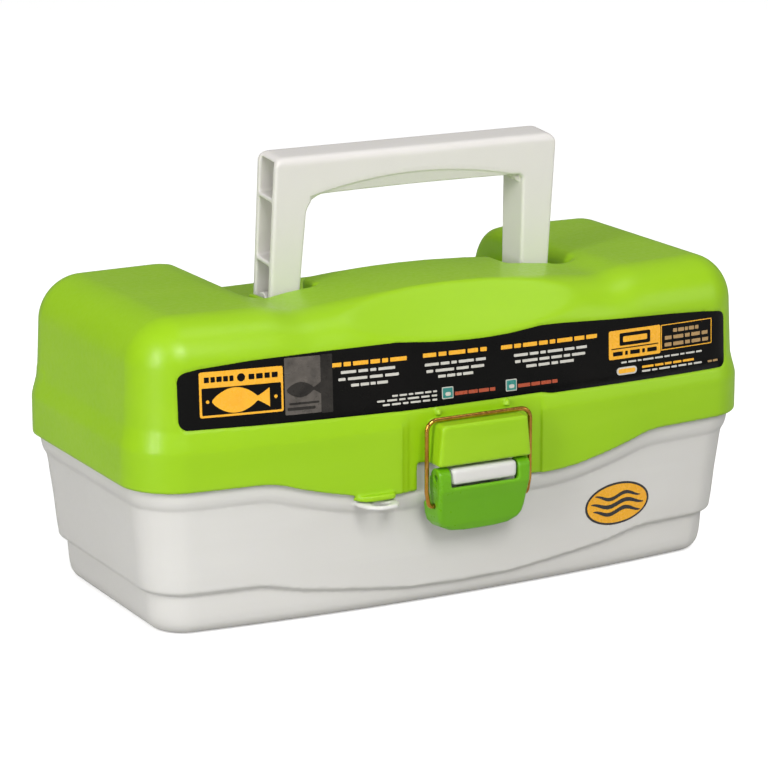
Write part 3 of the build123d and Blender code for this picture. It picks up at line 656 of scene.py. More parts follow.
def lid_label_pocket(field, x, y, z):
    outline = polygon(x, z, LABEL_OUTLINE, grow=0.45)
    return np.minimum(field, join(0.5, lid_wall(x, y, z) - 0.55, -outline))


def lid_lip(field, x, y, z):
    lip = meet(0.5, polygon(x, y, LID_LIP), 1.4 - np.abs(z - 61.9))
    return join(0.5, field, lip)


def build_lid():
    grid = Grid((0, 171.0), (-101.0, 91.0), (57.0, 159.0), SHELL_STEP, half=True)
    x, y, z = grid.axes()
    outer = lid_recess(lid_outer(x, y, z), x, y, z)
    outer = grid.local(outer, (0, 45, -95, -78, 55, 106), lid_channel)
    pad_limit = outer[grid.window(PAD_REGION)]

    def pads(field, x, y, z):
        """Small blocks inside the end walls."""
        pad = box_field(x, y, z, (158.5, 166.0), (44.0, 60.0), (92.5, 107.5), 0.6)
        return join(0.8, field, np.minimum(pad, pad_limit))

    # Hollow out, with a thinner wall behind the channel, and trim to the rim.
    thick = (WALL - 0.5 * ((x < 38.0) & (z < 101.0) & (y < -79.0))).astype(F32)
    stepped = grid.local(outer.copy(), CHANNEL_REGION, lid_step)
    rim = np.where(y < 0, RIM_Z(x), REAR_RIM_Z).astype(F32)
    field = meet(0.8, meet(0.4, outer, thick - stepped), z - rim)
    for region, shape in (((0, 36, -101, -68, 57, 80), lid_notch),
                          ((0, 32, -101, -78, 70, 100), lid_catch),
                          ((0, 24, -92, -80, 96, 105), lid_nibs),
                          ((52, 86, -32, -2, 128, 152), lid_ribs),
                          ((84, 127, 68, 91, 66, 96), lid_knuckle),
                          (PAD_REGION, pads)):
        field = grid.local(field, region, shape)
    field = grid.mirror(field)
    for region, shape in (((-156, 156, -95, -58, 94, 138), lid_label_pocket),
                          (CHANNEL_REGION, lid_step),
                          ((-68, -38, -95, -80, 58, 68), lid_lip)):
        field = grid.local(field, region, shape)
    lid = add_piece("lid_moulding", *grid.mesh(field), "lid", "lid_plastic", LID_GREEN)
    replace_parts(lid, "lid_shell")


build_lid()

# ---------------------------------------------------------------- base
# Rib under the tongue and hinge web, in section: (y, z). Tab on the front wall in plan: (x, y).
TONGUE_RIB = [(-91.5, 66.0), (-79.5, 66.0), (-79.0, 54.5)]
BASE_WEB = [(86.3, 72.4), (78.6, 73.2), (68.0, 73.2), (68.0, 55.0), (70.8, 55.0)]
BASE_TAB = [(-62.5, -76.0), (-61.8, -84.5), (-60.2, -89.5), (-57.4, -93.0), (-54.0, -94.7),
            (-49.0, -95.0), (-45.6, -94.0), (-43.2, -91.0), (-42.2, -86.0), (-42.0, -76.0)]
BOSS_X = (155.6, 166.0)


def base_inset(x, y, z, soft=False):
    """Wall inset of the base; soft eases the ledge and crease for the inner face."""
    side = np.abs(x)
    front = y < 0
    ledge = np.where(front, LEDGE_Z(side), REAR_LEDGE_Z)
    crease = np.where(front, RIM_Z(side) - BAND_H, REAR_RIM_Z - BAND_H)
    if soft:
        blend = smoothstep((z - (ledge - 1.4)) / 4.6)
    else:
        blend = np.clip((z - (ledge - 1.6)) / 1.9, 0, 1)
    wall = (LOWER_INSET(np.clip(z, -4, 89)) * (1 - blend)
            + UPPER_INSET(np.clip(z, 1, 89)) * blend)
    at_crease = UPPER_INSET(np.clip(crease, 1, 89))
    flare = 1 - np.exp(-np.maximum(z - crease, 0) / (6.5 if soft else 3.4))
    band = at_crease - (at_crease - 3.1) * flare + 0.5 * np.maximum(crease - z, 0)
    return np.maximum(np.minimum(wall, band), 3.0).astype(F32)


def base_wall(x, y, z, soft=False):
    return wall_field(x, y, base_inset(x, y, z, soft))


def base_outer(x, y, z, soft=False):
    """Outer skin, with a shallow setback high in the middle of the front."""
    setback = meet(0.6, meet(1.5, 40.0 - x, z - 60.0), -81.4 - y)
    return cut(0.6, meet(6.0, base_wall(x, y, z, soft), z), setback)


def base_tongue(field, x, y, z):
    """Block standing out of the front wall, on two ribs."""
    tongue = box_field(x, y, z, (-17.8, 17.8), (-96.7, -79.0), (65.2, 73.3), 1.9)
    rib = meet(0.4, polygon(y, z, TONGUE_RIB), 1.25 - np.abs(x - 12.75))
    return join(0.8, field, join(0.6, tongue, rib))


def base_knuckles(field, x, y, z):
    inner = WALL - base_wall(x, y, z)
    section = polygon(y, z, BASE_WEB)
    for limits in ((88.0, 99.0), (112.0, 123.0)):
        web = meet(0.5, section, span(x, *limits))
        knuckle = join(1.2, cylinder(x, y, z, limits, HINGE, KNUCKLE_R, 0.5), web)
        field = join(0.9, field, np.minimum(knuckle, inner))
    return np.minimum(field, -cylinder(x, y, z, (99.1, 111.9), HINGE, KNUCKLE_GAP_R, 0.3))


def base_boss(field, x, y, z):
    """Round boss and web inside each end wall."""
    boss = cylinder(x, y, z, BOSS_X, BOSS_AXIS, 6.0, 0.6)
    web = box_field(x, y, z, BOSS_X, (25.8, 28.2), (42.0, BOSS_AXIS[1]), 0.4)
    return join(0.8, field, np.minimum(join(0.8, boss, web), base_wall(x, y, z) - 0.5))


def base_tab(field, x, y, z):
    """Flat tab with an oval hole."""
    hole = 3.9 - np.hypot((x + 52.0) * 0.9, y + 88.6)
    tab = cut(0.5, polygon(x, y, BASE_TAB), hole)
    tab = meet(0.6, tab, 1.15 - np.abs(z - 58.7))
    return join(1.0, field, np.minimum(tab, 1.8 - base_wall(x, y, z)))


def build_base():
    grid = Grid((0, 169.0), (-99.0, 91.0), (-3.0, 88.0), SHELL_STEP, half=True)
    x, y, z = grid.axes()
    field = meet(0.5, base_outer(x, y, z), WALL - base_outer(x, y, z, soft=True))
    field = meet(0.8, field, 84.0 - z)
    for region, shape in (((0, 22, -98, -77, 52, 78), base_tongue),
                          ((84, 127, 66, 91, 52, 84), base_knuckles),
                          ((153, 168, 18, 36, 38, 74), base_boss)):
        field = grid.local(field, region, shape)
    field = grid.mirror(field)
    field = grid.local(field, (-70, -38, -98, -78, 54, 63), base_tab)
    base = add_piece("base_moulding", *grid.mesh(field), "base", "base_plastic", BASE_WHITE)
    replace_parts(base, "base_shell")


build_base()

# ---------------------------------------------------------------- latch lever
# Outer and hollow sections: (y, z). Front outline and hollow: (x, z).
LEVER_SIDE = [(-97.3, 75.0), (-97.3, 63.0), (-95.7, 57.0), (-94.4, 51.0), (-93.2, 45.0),
              (-92.0, 41.6), (-89.8, 40.0), (-86.2, 39.9), (-83.3, 42.2), (-82.0, 46.0),
              (-82.0, 56.0), (-83.0, 57.6), (-85.6, 60.5), (-85.6, 75.0)]
LEVER_FRONT = both_sides([(25.0, 76.0), (24.9, 69.0), (24.7, 62.5), (24.2, 57.0), (23.3, 50.0),
                          (22.3, 46.6), (20.1, 43.9), (15.0, 41.5), (7.5, 40.2), (0.0, 39.8)])
HOLLOW_SIDE = [(-94.9, 90.0), (-94.9, 62.8), (-93.3, 57.0), (-92.0, 51.0), (-90.9, 46.4),
               (-90.0, 44.6), (-88.6, 43.8), (-60.0, 43.8), (-60.0, 90.0)]
HOLLOW_FRONT = both_sides([(18.2, 90.0), (18.2, 64.4), (22.5, 63.6), (22.0, 57.0),
                           (21.0, 50.0), (19.4, 46.8), (14.0, 44.9), (0.0, 43.6)])


def build_lever():
    grid = Grid((-28, 28), (-100.0, -79.0), (38.0, 77.0), LEVER_STEP)
    x, y, z = grid.axes()
    # The low part widens towards the box.
    flare = np.clip(y + 95.0, 0, 13) * 0.16 * smoothstep((57.5 - z) / 3.0)
    face_x = np.sign(x) * np.maximum(np.abs(x) - flare, 0)
    field = meet(1.6, polygon(y, z, LEVER_SIDE), polygon(face_x, z, LEVER_FRONT))
    # Rounded ears about the pivot.
    ear = 4.8 - off_axis(y, z, LEVER_AXIS)
    skin = meet(0.6, field, np.maximum(ear, LEVER_AXIS[1] - z))
    hollow = meet(0.8, polygon(y, z, HOLLOW_SIDE), polygon(face_x, z, HOLLOW_FRONT))
    field = cut(0.5, skin, hollow)
    field = cut(0.9, field, meet(1.4, 18.4 - np.abs(x), z - 64.3))
    # Stiffening ribs behind the face.
    for rib_x in (-9.0, 0.0, 9.0):
        rib = meet(0.4, 0.8 - np.abs(x - rib_x), -90.5 - y)
        rib = np.minimum(rib, np.minimum(skin - 0.3, 63.0 - z))
        field = join(0.5, field, rib)
    for axis, bore_r in ((BAIL_AXIS, 1.36), (LEVER_AXIS, 1.56)):
        field = np.minimum(field, off_axis(y, z, axis) - bore_r)
    lever = add_piece("lever_moulding", *grid.mesh(field), "latch_lever", "lever_plastic",
                      LEVER_GREEN)
    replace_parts(lever, "latch_lever")


build_lever()

# ---------------------------------------------------------------- bail wire
# Corners of the wire loop, from its +X end to its -X end: (x, z), and their bend radii.
BAIL_CORNERS = both_sides([(21.0, BAIL_AXIS[1]), (26.8, BAIL_AXIS[1]), (28.2, 62.0),
                           (28.2, 96.7)])[::-1]
BAIL_BENDS = [2.2, 6.0, 5.2, 5.2, 6.0, 2.2]
WIRE_R, WIRE_SIDES, BEND_STEP = 1.1, 20, 0.5


def round_path(corners, radii):
    """Polyline with its corners replaced by sampled arcs."""
    corners = [np.asarray(corner, float) for corner in corners]
    path = [corners[0]]
    for before, corner, after, radius in zip(corners, corners[1:], corners[2:], radii):
        back = (before - corner) / np.linalg.norm(before - corner)
        ahead = (after - corner) / np.linalg.norm(after - corner)
        angle = math.acos(np.clip(back @ ahead, -1, 1))
        reach = radius / math.tan(angle / 2)
        inward = (back + ahead) / np.linalg.norm(back + ahead)
        centre = corner + inward * radius / math.sin(angle / 2)
        start, end = corner + back * reach - centre, corner + ahead * reach - centre
        turn = math.acos(np.clip((start @ end) / (radius ** 2), -1, 1))
        for t in np.linspace(0, 1, max(4, int(turn * radius / BEND_STEP)) + 1):
            arm = math.sin((1 - t) * turn) * start + math.sin(t * turn) * end
            path.append(centre + arm / math.sin(turn))
    path.append(corners[-1])
    return np.asarray(path, float)


def build_bail():
    """Round wire swept along a path in an XZ plane, with closed ends."""
    path = round_path([(x, BAIL_AXIS[0], z) for x, z in BAIL_CORNERS], BAIL_BENDS)
    ahead = np.gradient(path, axis=0)
    ahead /= np.linalg.norm(ahead, axis=1)[:, None]
    across = np.array([0.0, 1.0, 0.0])
    outward = np.cross(ahead, across)
    turn = np.linspace(0, 2 * np.pi, WIRE_SIDES, endpoint=False)[None, :, None]
    rings = path[:, None, :] + WIRE_R * (np.cos(turn) * across
                                         + np.sin(turn) * outward[:, None, :])
    faces = []
    for i in range(len(path) - 1):
        this, above = i * WIRE_SIDES, (i + 1) * WIRE_SIDES
        for j in range(WIRE_SIDES):
            k = (j + 1) % WIRE_SIDES
            faces.append((this + j, this + k, above + k, above + j))
    faces.append(tuple(range(WIRE_SIDES - 1, -1, -1)))
    faces.append(tuple((len(path) - 1) * WIRE_SIDES + j for j in range(WIRE_SIDES)))
    bail = add_piece("bail_wire", rings.reshape(-1, 3), faces, "latch_bail", "bail_wire",
                     BRASS, sharp=50)
    edit = bmesh.new()
    edit.from_mesh(bail.data)
    bmesh.ops.recalc_face_normals(edit, faces=edit.faces)
    edit.to_mesh(bail.data)
    edit.free()
    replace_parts(bail, "latch_bail")


build_bail()

# ---------------------------------------------------------------- handle
# Modelled upright about its pivot, then tilted so that the grip leans to the front.
HANDLE_H, OPENING_H = 74.0, 54.3
HANDLE_HALF, OPENING_HALF = 77.0, 59.4
FOOT_R = 9.7
HANDLE_TILT = 5.4
# Pockets open at the handle's ends: height from, height to, depth.
HANDLE_POCKETS = [(-1.0, 19.9, 15.0), (22.1, 51.4, 15.0), (53.6, 70.9, 46.0)]


def build_handle():
    grid = Grid((-79.2, 79.2), (-12.5, 12.5), (-11.5, 76.0), HANDLE_STEP)
    x, y, z = grid.axes()
    side = np.abs(x)
    half_thick = FOOT_R + 0.7 * np.clip(z, -12, 80) / HANDLE_H
    opening_half = OPENING_HALF + 2.2 * (1 - np.clip(z, 0, 50) / 50.0)
    outer_half = HANDLE_HALF + 0.3 * (1 - np.clip(z, 0, HANDLE_H) / HANDLE_H)
    outline = meet(2.0, meet(5.5, outer_half - side, HANDLE_H - z), z + 9.0)
    # The opening's upper corner is rounder at -X.
    opening = np.where(x < 0, meet(9.5, opening_half - side, OPENING_H - z),
                       meet(3.0, opening_half - side, OPENING_H - z))
    section = meet(4.4, half_thick - np.abs(y), HANDLE_H - z)
    section = np.where(z < 0, FOOT_R - np.hypot(y, z), section)
    field = meet(1.4, cut(1.3, outline, opening), section)

    for low, high, depth in HANDLE_POCKETS:
        pocket = meet(1.2, side - (HANDLE_HALF - depth), z - low, high - z)
        pocket = meet(1.3, pocket, (half_thick - 3.3) - np.abs(y))
        field = cut(0.7, field, pocket)
    boss = np.minimum(5.2 - np.hypot(y, z), np.minimum(side - 63.0, 76.8 - side))
    field = join(0.8, field, boss)
    field = np.minimum(field, np.hypot(y, z) - 2.55)

    # Finger relief along the lower front of the grip, with a fine lip on its arc.
    below = OPENING_H + 7.2 * (1 - (side / 57.0) ** 2) - z
    face = y + half_thick - 0.55 * smoothstep(below / 0.9) - 0.27 * np.maximum(below, 0)
    near_grip = (below > -1) & (side < 58.0) & (z > OPENING_H - 3.0)
    field = np.where(near_grip, meet(0.4, field, face), field)

    # Three small gussets in the opening's upper corner at +X.
    for gusset_y in (-5.4, -1.2, 3.0):
        slant = ((x - OPENING_HALF) + (z - OPENING_H) + 5.6) * 0.707
        gusset = meet(0.4, x - 54.0, z - (OPENING_H - 5.0), slant,
                      0.75 - np.abs(y - gusset_y))
        gusset = np.minimum(gusset, np.minimum(61.0 - x, OPENING_H + 1.5 - z))
        field = join(0.5, field, gusset)

    points, quads = grid.mesh(field)
    cosine, sine = math.cos(math.radians(HANDLE_TILT)), math.sin(math.radians(HANDLE_TILT))
    y, z = points[:, 1].copy(), points[:, 2].copy()
    points[:, 1] = HANDLE_AXIS[0] + y * cosine - z * sine
    points[:, 2] = HANDLE_AXIS[1] + y * sine + z * cosine
    handle = add_piece("handle_moulding", points, quads, "handle", "handle_plastic",
                       HANDLE_WHITE)
    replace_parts(handle, "handle")


build_handle()


# ---------------------------------------------------------------- printing
def front_y(x, inset):
    """Y of the front wall at an inset, by bisection."""
    shape = np.broadcast(x, inset).shape
    front, rear = np.full(shape, -92.0), np.full(shape, -40.0)
    for _ in range(26):
        middle = (front + rear) / 2
        inside = wall_field(x, middle, inset) > 0
        rear = np.where(inside, middle, rear)
        front = np.where(inside, front, middle)
    return (front + rear) / 2


class Print:
    """Thin patches laid on a front wall, merged into one piece."""

    def __init__(self, body, slot, inset):
        self.body, self.slot, self.inset = body, slot, inset
        self.patches = []

    def patch(self, name, xs, low, high, rise, material, thick, rows=None):
        """Patch between low(x) and high(x), its face standing rise off the wall."""
        xs = np.asarray(xs, float)
        bottom, top = np.asarray([low(x) for x in xs]), np.asarray([high(x) for x in xs])
        rows = rows or max(2, int((top - bottom).max() / 3.0) + 2)
        z = bottom[:, None] + (top - bottom)[:, None] * np.linspace(0, 1, rows)
        x = np.repeat(xs[:, None], rows, 1)
        face_y = front_y(x, self.inset(x, z) - rise)
        back_y = front_y(x, self.inset(x, z) - rise + thick)
        points = [np.stack([x, y, z], -1).reshape(-1, 3) for y in (face_y, back_y)]
        count = len(xs) * rows
        index = np.arange(count).reshape(len(xs), rows)
        quads = np.stack([index[:-1, :-1], index[1:, :-1], index[1:, 1:], index[:-1, 1:]],
                         -1).reshape(-1, 4)
        faces = [tuple(quad) for quad in quads] + [tuple(quad[::-1] + count) for quad in quads]
        rim = (list(index[:, 0]) + list(index[-1, 1:]) + list(index[-2::-1, -1])
               + list(index[0, -2:0:-1]))
        for this, after in zip(rim, rim[1:] + rim[:1]):
            faces.append((after, this, this + count, after + count))
        self.patches.append(add_piece(name, np.concatenate(points), faces, self.body,
                                      self.slot, material, sharp=40))

    def merge(self, name):
        """One piece from the patches, keeping their materials."""
        edit = bmesh.new()
        materials = []
        for piece in self.patches:
            material = piece.data.materials[0]
            if material not in materials:
                materials.append(material)
            first = len(edit.faces)
            edit.from_mesh(piece.data)
            edit.faces.ensure_lookup_table()
            for face in edit.faces[first:]:
                face.material_index = materials.index(material)
                face.smooth = True
        mesh = bpy.data.meshes.new(name)
        bmesh.ops.recalc_face_normals(edit, faces=edit.faces)
        edit.to_mesh(mesh)
        edit.free()
        for material in materials:
            mesh.materials.append(material)
        merged = bpy.data.objects.new(name, mesh)
        bpy.context.scene.collection.objects.link(merged)
        mesh.set_sharp_from_angle(angle=math.radians(40))
        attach(merged, self.body)
        for piece in self.patches:
            bpy.data.objects.remove(piece)
        return merged


# ---------------------------------------------------------------- lid label
label = Print("lid", "label_film", lambda x, z: LID_INSET(z))
FILM_X, FILM_FLAT_X, FILM_CORNER_R = (-148.6, 151.7), (-144.3, 147.4), 4.3
# Lower and upper edges of the film: (x, z).
FILM_LOW = [(-146, 103.4), (-112, 102.6), (-77, 102.0), (-44, 101.5), (-39, 101.3),
            (39, 101.3), (44, 100.2), (130, 99.2), (150, 99.1)]
FILM_HIGH = [(-145.5, 130.2), (-138.8, 131.4), (-112.7, 133.2), (-77, 134.0), (-39.5, 134.2),
             (-30, 133.4), (-20.5, 132.5), (-11, 131.9), (0, 131.5), (9, 131.5), (20, 131.9),
             (29, 132.7), (39.2, 133.8), (49, 133.6), (56.6, 133.2), (85, 131.5),
             (114.7, 130.1), (137.5, 128.5), (149, 127.1)]
PRINT_SLOPE = 0.014  # the print drops by this much per millimetre towards +X
SECOND, THIRD = 0.14, 0.24  # rise of print laid over the first layer, and over the second
PRINT_THICK = 0.25


def film_trim(x):
    """How far the film's rounded corners pull its edges in."""
    beyond = min(FILM_CORNER_R, max(0.0, FILM_FLAT_X[0] - x, x - FILM_FLAT_X[1]))
    return FILM_CORNER_R - math.sqrt(max(0.0, FILM_CORNER_R**2 - beyond ** 2))


def rect(x0, x1, z0, z1, material, radius=0.4, rise=0.0):
    """Rounded rectangle, sheared to follow the print's slope."""
    ease = radius * (1 - np.cos(np.linspace(0, np.pi / 2, 7)))
    middle = np.linspace(x0 + radius, x1 - radius, max(2, int((x1 - x0) / 5)))[1:-1]
    xs = np.concatenate([x0 + ease, middle, (x1 - ease)[::-1]])

    def trim(x):
        beyond = max(0.0, radius - min(x - x0, x1 - x))
        return radius - math.sqrt(max(0.0, radius * radius - beyond * beyond))
    label.patch("f", xs, lambda x: z0 + trim(x) - PRINT_SLOPE * x,
                lambda x: z1 - trim(x) - PRINT_SLOPE * x, rise, material, PRINT_THICK)


def outline_rect(x0, x1, z0, z1, width, material):
    """Four thin bars around a rectangle."""
    for limits in ((x0, x1, z1 - width, z1), (x0, x1, z0, z0 + width),
                   (x0, x0 + width, z0, z1), (x1 - width, x1, z0, z1)):
        rect(*limits, material, width * 0.4)


def bars(x0, x1, z, height, words, gap, material, rise=0.0):
    """A row of short dashes standing in for small print; words are relative widths."""
    unit = (x1 - x0) / (sum(words) + gap * (len(words) - 1))
    x = x0
    for word in words:
        rect(x, x + word * unit, z, z + height, material, min(0.3, height * 0.45), rise)
        x += (word + gap) * unit


def fish(centre_x, centre_z, length, material, rise):
    """Plain fish outline: lens body, and forked tail towards +X."""
    def half(x):
        t = (x - centre_x + length / 2) / length
        if t < 0.78:
            swell = math.sin(math.pi * min(1.0, t / 0.80)) ** 0.75
            return 0.20 * length * swell + 0.012 * length
        return 0.03 * length + 0.13 * length * ((t - 0.78) / 0.22) ** 1.1
    label.patch("f", centre_x + np.linspace(-length / 2, length / 2, 37),
                lambda x: centre_z - PRINT_SLOPE * x - half(x),
                lambda x: centre_z - PRINT_SLOPE * x + half(x),
                rise, material, PRINT_THICK, rows=5)


# Black film that carries the print.
film_xs = np.unique(np.concatenate([
    np.linspace(FILM_X[0], FILM_FLAT_X[0], 10), np.linspace(*FILM_FLAT_X, 146),
    np.linspace(FILM_FLAT_X[1], FILM_X[1], 10)]))
label.patch("f0", film_xs, lambda x: np.interp(x, *zip(*FILM_LOW)) + film_trim(x),
            lambda x: np.interp(x, *zip(*FILM_HIGH)) - film_trim(x), -0.12, BLACK, 0.4,
            rows=14)

# Badge at -X: amber tag, dark window with a fish, strip of dashes above.
rect(-138.6, -97.8, 106.6, 128.0, AMBER, 1.0)
rect(-137.5, -98.9, 107.7, 120.4, BLACK, 0.5, SECOND)
fish(-118.6, 114.0, 28.0, AMBER, THIRD)
rect(-135.6, -134.0, 113.2, 114.8, AMBER, 0.75, THIRD)
rect(-102.4, -100.8, 113.2, 114.8, AMBER, 0.75, THIRD)
bars(-136.2, -122.0, 123.0, 2.5, [1.6, 1.4, 1.7, 1.5, 1.3], 0.55, BLACK, SECOND)
bars(-114.6, -100.4, 123.0, 2.5, [1.5, 1.7, 1.4, 1.6], 0.55, BLACK, SECOND)
rect(-120.2, -116.4, 122.4, 126.2, BLACK, 1.85, SECOND)

# Faint panel beside the badge.
rect(-97.0, -79.0, 104.4, 131.4, UMBER, 0.6, 0.02)
rect(-79.0, -73.0, 104.0, 131.6, SOOT, 0.6, 0.02)
fish(-87.6, 116.0, 17.0, SOOT, SECOND)
rect(-96.0, -82.0, 106.4, 107.8, SOOT, 0.5, SECOND)
rect(-95.0, -80.0, 109.0, 110.0, SOOT, 0.4, SECOND)

# Three columns of small print, each an amber heading and pale lines: x from, x to, z.
COLUMNS = [
    [(-74.5, -34.5, 124.9), (-68.7, -40.7, 121.4), (-70.0, -38.8, 118.1), (-63.6, -44.6, 114.9)],
    [(-25.9, 8.6, 125.1), (-25.0, 8.0, 120.8), (-24.2, 7.0, 117.6), (-18.0, 1.0, 114.7)],
    [(16.5, 71.5, 124.8), (23.7, 65.5, 120.5), (24.3, 64.5, 117.4), (30.5, 57.8, 114.6)]]
WORD_CYCLE = (3.0, 1.8, 3.8, 2.4, 1.5, 4.2, 2.8)
for column in COLUMNS:
    for i, (x0, x1, z) in enumerate(column):
        words = [WORD_CYCLE[(k + 2 * i) % 7] for k in range(max(4, int((x1 - x0) / 6.5)))]
        bars(x0, x1, z, 2.0 if i == 0 else 1.35, words, 0.55, AMBER if i == 0 else PALE)

# Fine print below, and two teal icons with rust captions.
for x0, x1, z in ((-42.5, -18.8, 108.0), (-50.4, -18.8, 106.0), (-47.5, -18.8, 104.0)):
    bars(x0, x1, z, 0.9, [2.0, 2.6, 1.6, 3.0, 2.2, 1.4], 0.6, PALE)
for x0, caption_x0, caption_x1 in ((-16.1, -9.1, 13.0), (18.9, 25.7, 48.2)):
    rect(x0, x0 + 6.1, 104.2, 109.9, PALE, 0.5)
    rect(x0 + 0.45, x0 + 5.65, 104.65, 109.45, TEAL, 0.4, SECOND)
    rect(x0 + 1.7, x0 + 4.6, 105.6, 107.4, PALE, 0.8, THIRD)
    bars(caption_x0, caption_x1, 105.4, 1.7, [4.6, 3.4, 3.8, 2.0], 0.4, RUST)

# Block at +X: amber tile beside a thin frame of dashes, lines and a pill below.
rect(78.6, 110.0, 112.7, 127.0, AMBER, 1.0)
rect(85.0, 103.6, 119.2, 125.4, BLACK, 0.8, SECOND)
rect(87.0, 101.6, 120.9, 123.7, AMBER, 0.5, THIRD)
rect(80.0, 108.6, 117.7, 118.2, BLACK, 0.2, SECOND)
bars(81.0, 107.6, 114.4, 2.0, [2.6, 0.7, 2.6, 0.7, 2.6], 0.7, BLACK, SECOND)
outline_rect(110.4, 142.4, 113.9, 126.7, 0.45, AMBER)
for x0, x1, z in ((118.0, 134.0, 122.3), (112.8, 139.8, 119.0), (112.6, 140.2, 115.6)):
    bars(x0, x1, z, 1.8, [2.0, 3.0, 1.4, 2.6, 1.8], 0.55, SAND)
bars(86.0, 136.0, 110.3, 0.9, [2, 3, 1.4, 4, 3, 2, 3, 1.6, 3.4, 2.2], 0.6, PALE)
bars(98.6, 131.0, 106.6, 1.1, [4, 3, 2.4, 3, 4], 0.5, AMBER)
bars(98.6, 136.0, 104.6, 0.9, [3, 2, 4, 2, 3, 1.6, 3], 0.6, PALE)
bars(139.8, 146.4, 104.4, 1.0, [2, 2.4], 0.5, SAND)
rect(83.2, 95.4, 104.6, 108.4, PALE, 1.8)
rect(84.2, 94.4, 105.4, 107.6, AMBER, 1.0, SECOND)
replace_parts(label.merge("label_print"), "lid_label")

# ---------------------------------------------------------------- oval badge on the base
badge = Print("base", "badge_film", lambda x, z: base_inset(x, np.full_like(z, -80.0), z))
BADGE_X, BADGE_Z = 89.0, 36.2


def oval(half_x, half_z, material, rise):
    xs = BADGE_X - half_x * 0.9995 * np.cos(np.linspace(0, np.pi, 41))

    def half(x):
        return half_z * math.sqrt(max(0.0, 1 - ((x - BADGE_X) / half_x) ** 2))
    badge.patch("b", xs, lambda x: BADGE_Z - half(x), lambda x: BADGE_Z + half(x), rise,
                material, rise + 0.12, rows=9)


def wave(centre_z, half_x, half_thick, swing=1.3, rise=0.36):
    """Wavy ink band that thins to its ends."""
    def middle(x):
        return centre_z + swing * math.sin((x - BADGE_X) / half_x * math.pi * 1.5)

    def half(x):
        return half_thick * max(0.04, 1 - ((x - BADGE_X) / half_x) ** 2) ** 0.5
    badge.patch("b", np.linspace(BADGE_X - half_x, BADGE_X + half_x, 49),
                lambda x: middle(x) - half(x), lambda x: middle(x) + half(x), rise,
                BADGE_INK, rise, rows=4)


oval(19.4, 11.2, BADGE_INK, rise=0.16)
oval(18.2, 10.1, BADGE_AMBER, rise=0.26)
wave(32.2, half_x=14.4, half_thick=1.1)
wave(BADGE_Z, half_x=16.0, half_thick=1.15)
wave(40.2, half_x=13.8, half_thick=1.0)
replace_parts(badge.merge("badge_print"), "base_badge")

# ---------------------------------------------------------------- studio (metres)
scene = bpy.context.scene


def floor_material():
    """Matt paper, brighter to the camera than to the light it bounces."""
    mat = MatTree("FloorPaper")
    mottle = mat.noise(scale=5.0)
    is_camera = mat.node("ShaderNodeLightPath").outputs["Is Camera Ray"]
    seen = mat.mix(mat.remap(mottle, low=0.3, high=0.7, to_high=0.5),
                   colour=(0.93, 0.93, 0.93, 1), other=(0.96, 0.96, 0.955, 1))
    colour = mat.mix(is_camera, colour=(0.50, 0.50, 0.49, 1), other=seen)
    return mat.finish(Base_Color=colour, Roughness=0.8, Emission_Color=(1, 1, 1, 1),
                      Emission_Strength=mat.times(is_camera, factor=0.55),
                      Specular_IOR_Level=0.1)


def build_floor():
    """Paper sweep: flat floor that curves up far behind."""
    bend_y, bend_r, half_width, drop = 6.0, 1.5, 9.0, 0.0004
    profile = [(-4.0, 0.0)]
    for i in range(25):
        angle = math.radians(i * 90 / 24)
        profile.append((bend_y + bend_r * math.sin(angle), bend_r - bend_r * math.cos(angle)))
    profile.append((bend_y + bend_r, 6.0))
    points = [(x, y, z - drop) for y, z in profile for x in (-half_width, half_width)]
    faces = [(2 * i, 2 * i + 1, 2 * i + 3, 2 * i + 2) for i in range(len(profile) - 1)]
    mesh = bpy.data.meshes.new("floor")
    mesh.from_pydata(points, [], faces)
    mesh.update()
    floor = bpy.data.objects.new("floor", mesh)
    scene.collection.objects.link(floor)
    mesh.materials.append(floor_material())


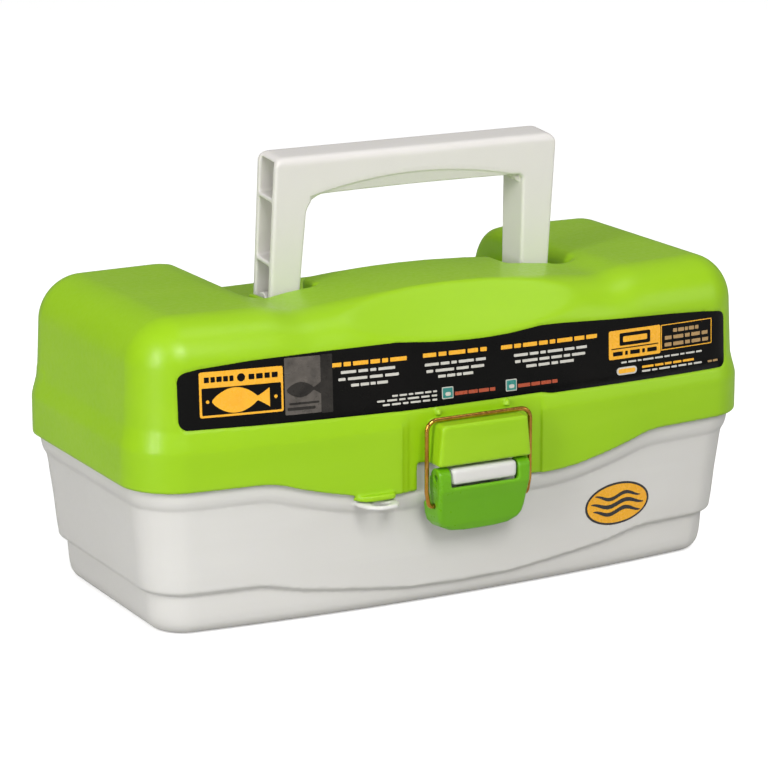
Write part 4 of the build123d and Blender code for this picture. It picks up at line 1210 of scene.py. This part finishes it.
def build_world():
    """White surround: soft gradient for light, dimmer in reflections, white to the camera."""
    gradient = {"From Min": -0.1, "From Max": 0.9, "To Min": 0.30, "To Max": 0.50}
    reflected_share, camera_strength = 0.45, 1.05
    world = bpy.data.worlds.new("studio")
    scene.world = world
    world.use_nodes = True
    new, link = world.node_tree.nodes.new, world.node_tree.links.new
    background = world.node_tree.nodes["Background"]
    path, coord = new("ShaderNodeLightPath"), new("ShaderNodeTexCoord")
    split = new("ShaderNodeSeparateXYZ")
    link(coord.outputs["Generated"], split.inputs[0])
    height = new("ShaderNodeMapRange")
    link(split.outputs[2], height.inputs["Value"])
    for key, value in gradient.items():
        height.inputs[key].default_value = value
    seen = new("ShaderNodeMix")
    seen.inputs[3].default_value = camera_strength
    glossy = new("ShaderNodeMix")
    link(path.outputs["Is Glossy Ray"], glossy.inputs[0])
    link(height.outputs[0], glossy.inputs[2])
    dimmed = new("ShaderNodeMath")
    dimmed.operation = "MULTIPLY"
    link(height.outputs[0], dimmed.inputs[0])
    dimmed.inputs[1].default_value = reflected_share
    link(dimmed.outputs[0], glossy.inputs[3])
    link(path.outputs["Is Camera Ray"], seen.inputs[0])
    link(glossy.outputs[0], seen.inputs[2])
    link(seen.outputs[0], background.inputs[1])
    background.inputs[0].default_value = (1.0, 1.0, 1.0, 1)


def lamp(name, place, target_z, size, power, colour=(1, 1, 1), height=None):
    """Area light aimed at a point on the Z axis."""
    light = bpy.data.lights.new(name, "AREA")
    light.shape = "RECTANGLE"
    light.size, light.size_y = size, height or size
    light.energy = power
    light.color = colour
    holder = bpy.data.objects.new(name, light)
    scene.collection.objects.link(holder)
    aim = Vector((0, 0, target_z)) - Vector(place)
    holder.location = place
    holder.rotation_mode = "QUATERNION"
    holder.rotation_quaternion = aim.to_track_quat("-Z", "Y")


def build_camera():
    azimuth, elevation = math.radians(-28.37), math.radians(14.27)
    distance, target = 1.5937, Vector((-0.00243, 0, 0.09161))
    camera = bpy.data.cameras.new("cam")
    camera.lens, camera.sensor_width = 150.0, 36.0
    camera.clip_start, camera.clip_end = 0.05, 50
    holder = bpy.data.objects.new("cam", camera)
    scene.collection.objects.link(holder)
    back = Vector((math.sin(azimuth) * math.cos(elevation),
                   -math.cos(azimuth) * math.cos(elevation), math.sin(elevation)))
    holder.location = target + back * distance
    holder.rotation_mode = "QUATERNION"
    holder.rotation_quaternion = (-back).to_track_quat("-Z", "Y")
    scene.camera = holder


build_floor()
scene.view_settings.view_transform = "Standard"
build_world()
lamp("key", place=(-0.35, -1.75, 1.45), target_z=0.09, size=0.8, power=22,
     colour=(1.0, 0.99, 0.97))
lamp("strip", place=(-1.75, -0.85, 0.75), target_z=0.08, size=0.35, power=20,
     colour=(1.0, 0.99, 0.98), height=1.2)
lamp("fill", place=(1.5, -1.3, 0.7), target_z=0.08, size=0.9, power=4,
     colour=(0.98, 0.99, 1.0))
lamp("top", place=(0.5, -0.35, 1.6), target_z=0.1, size=0.55, power=2.2)
build_camera()
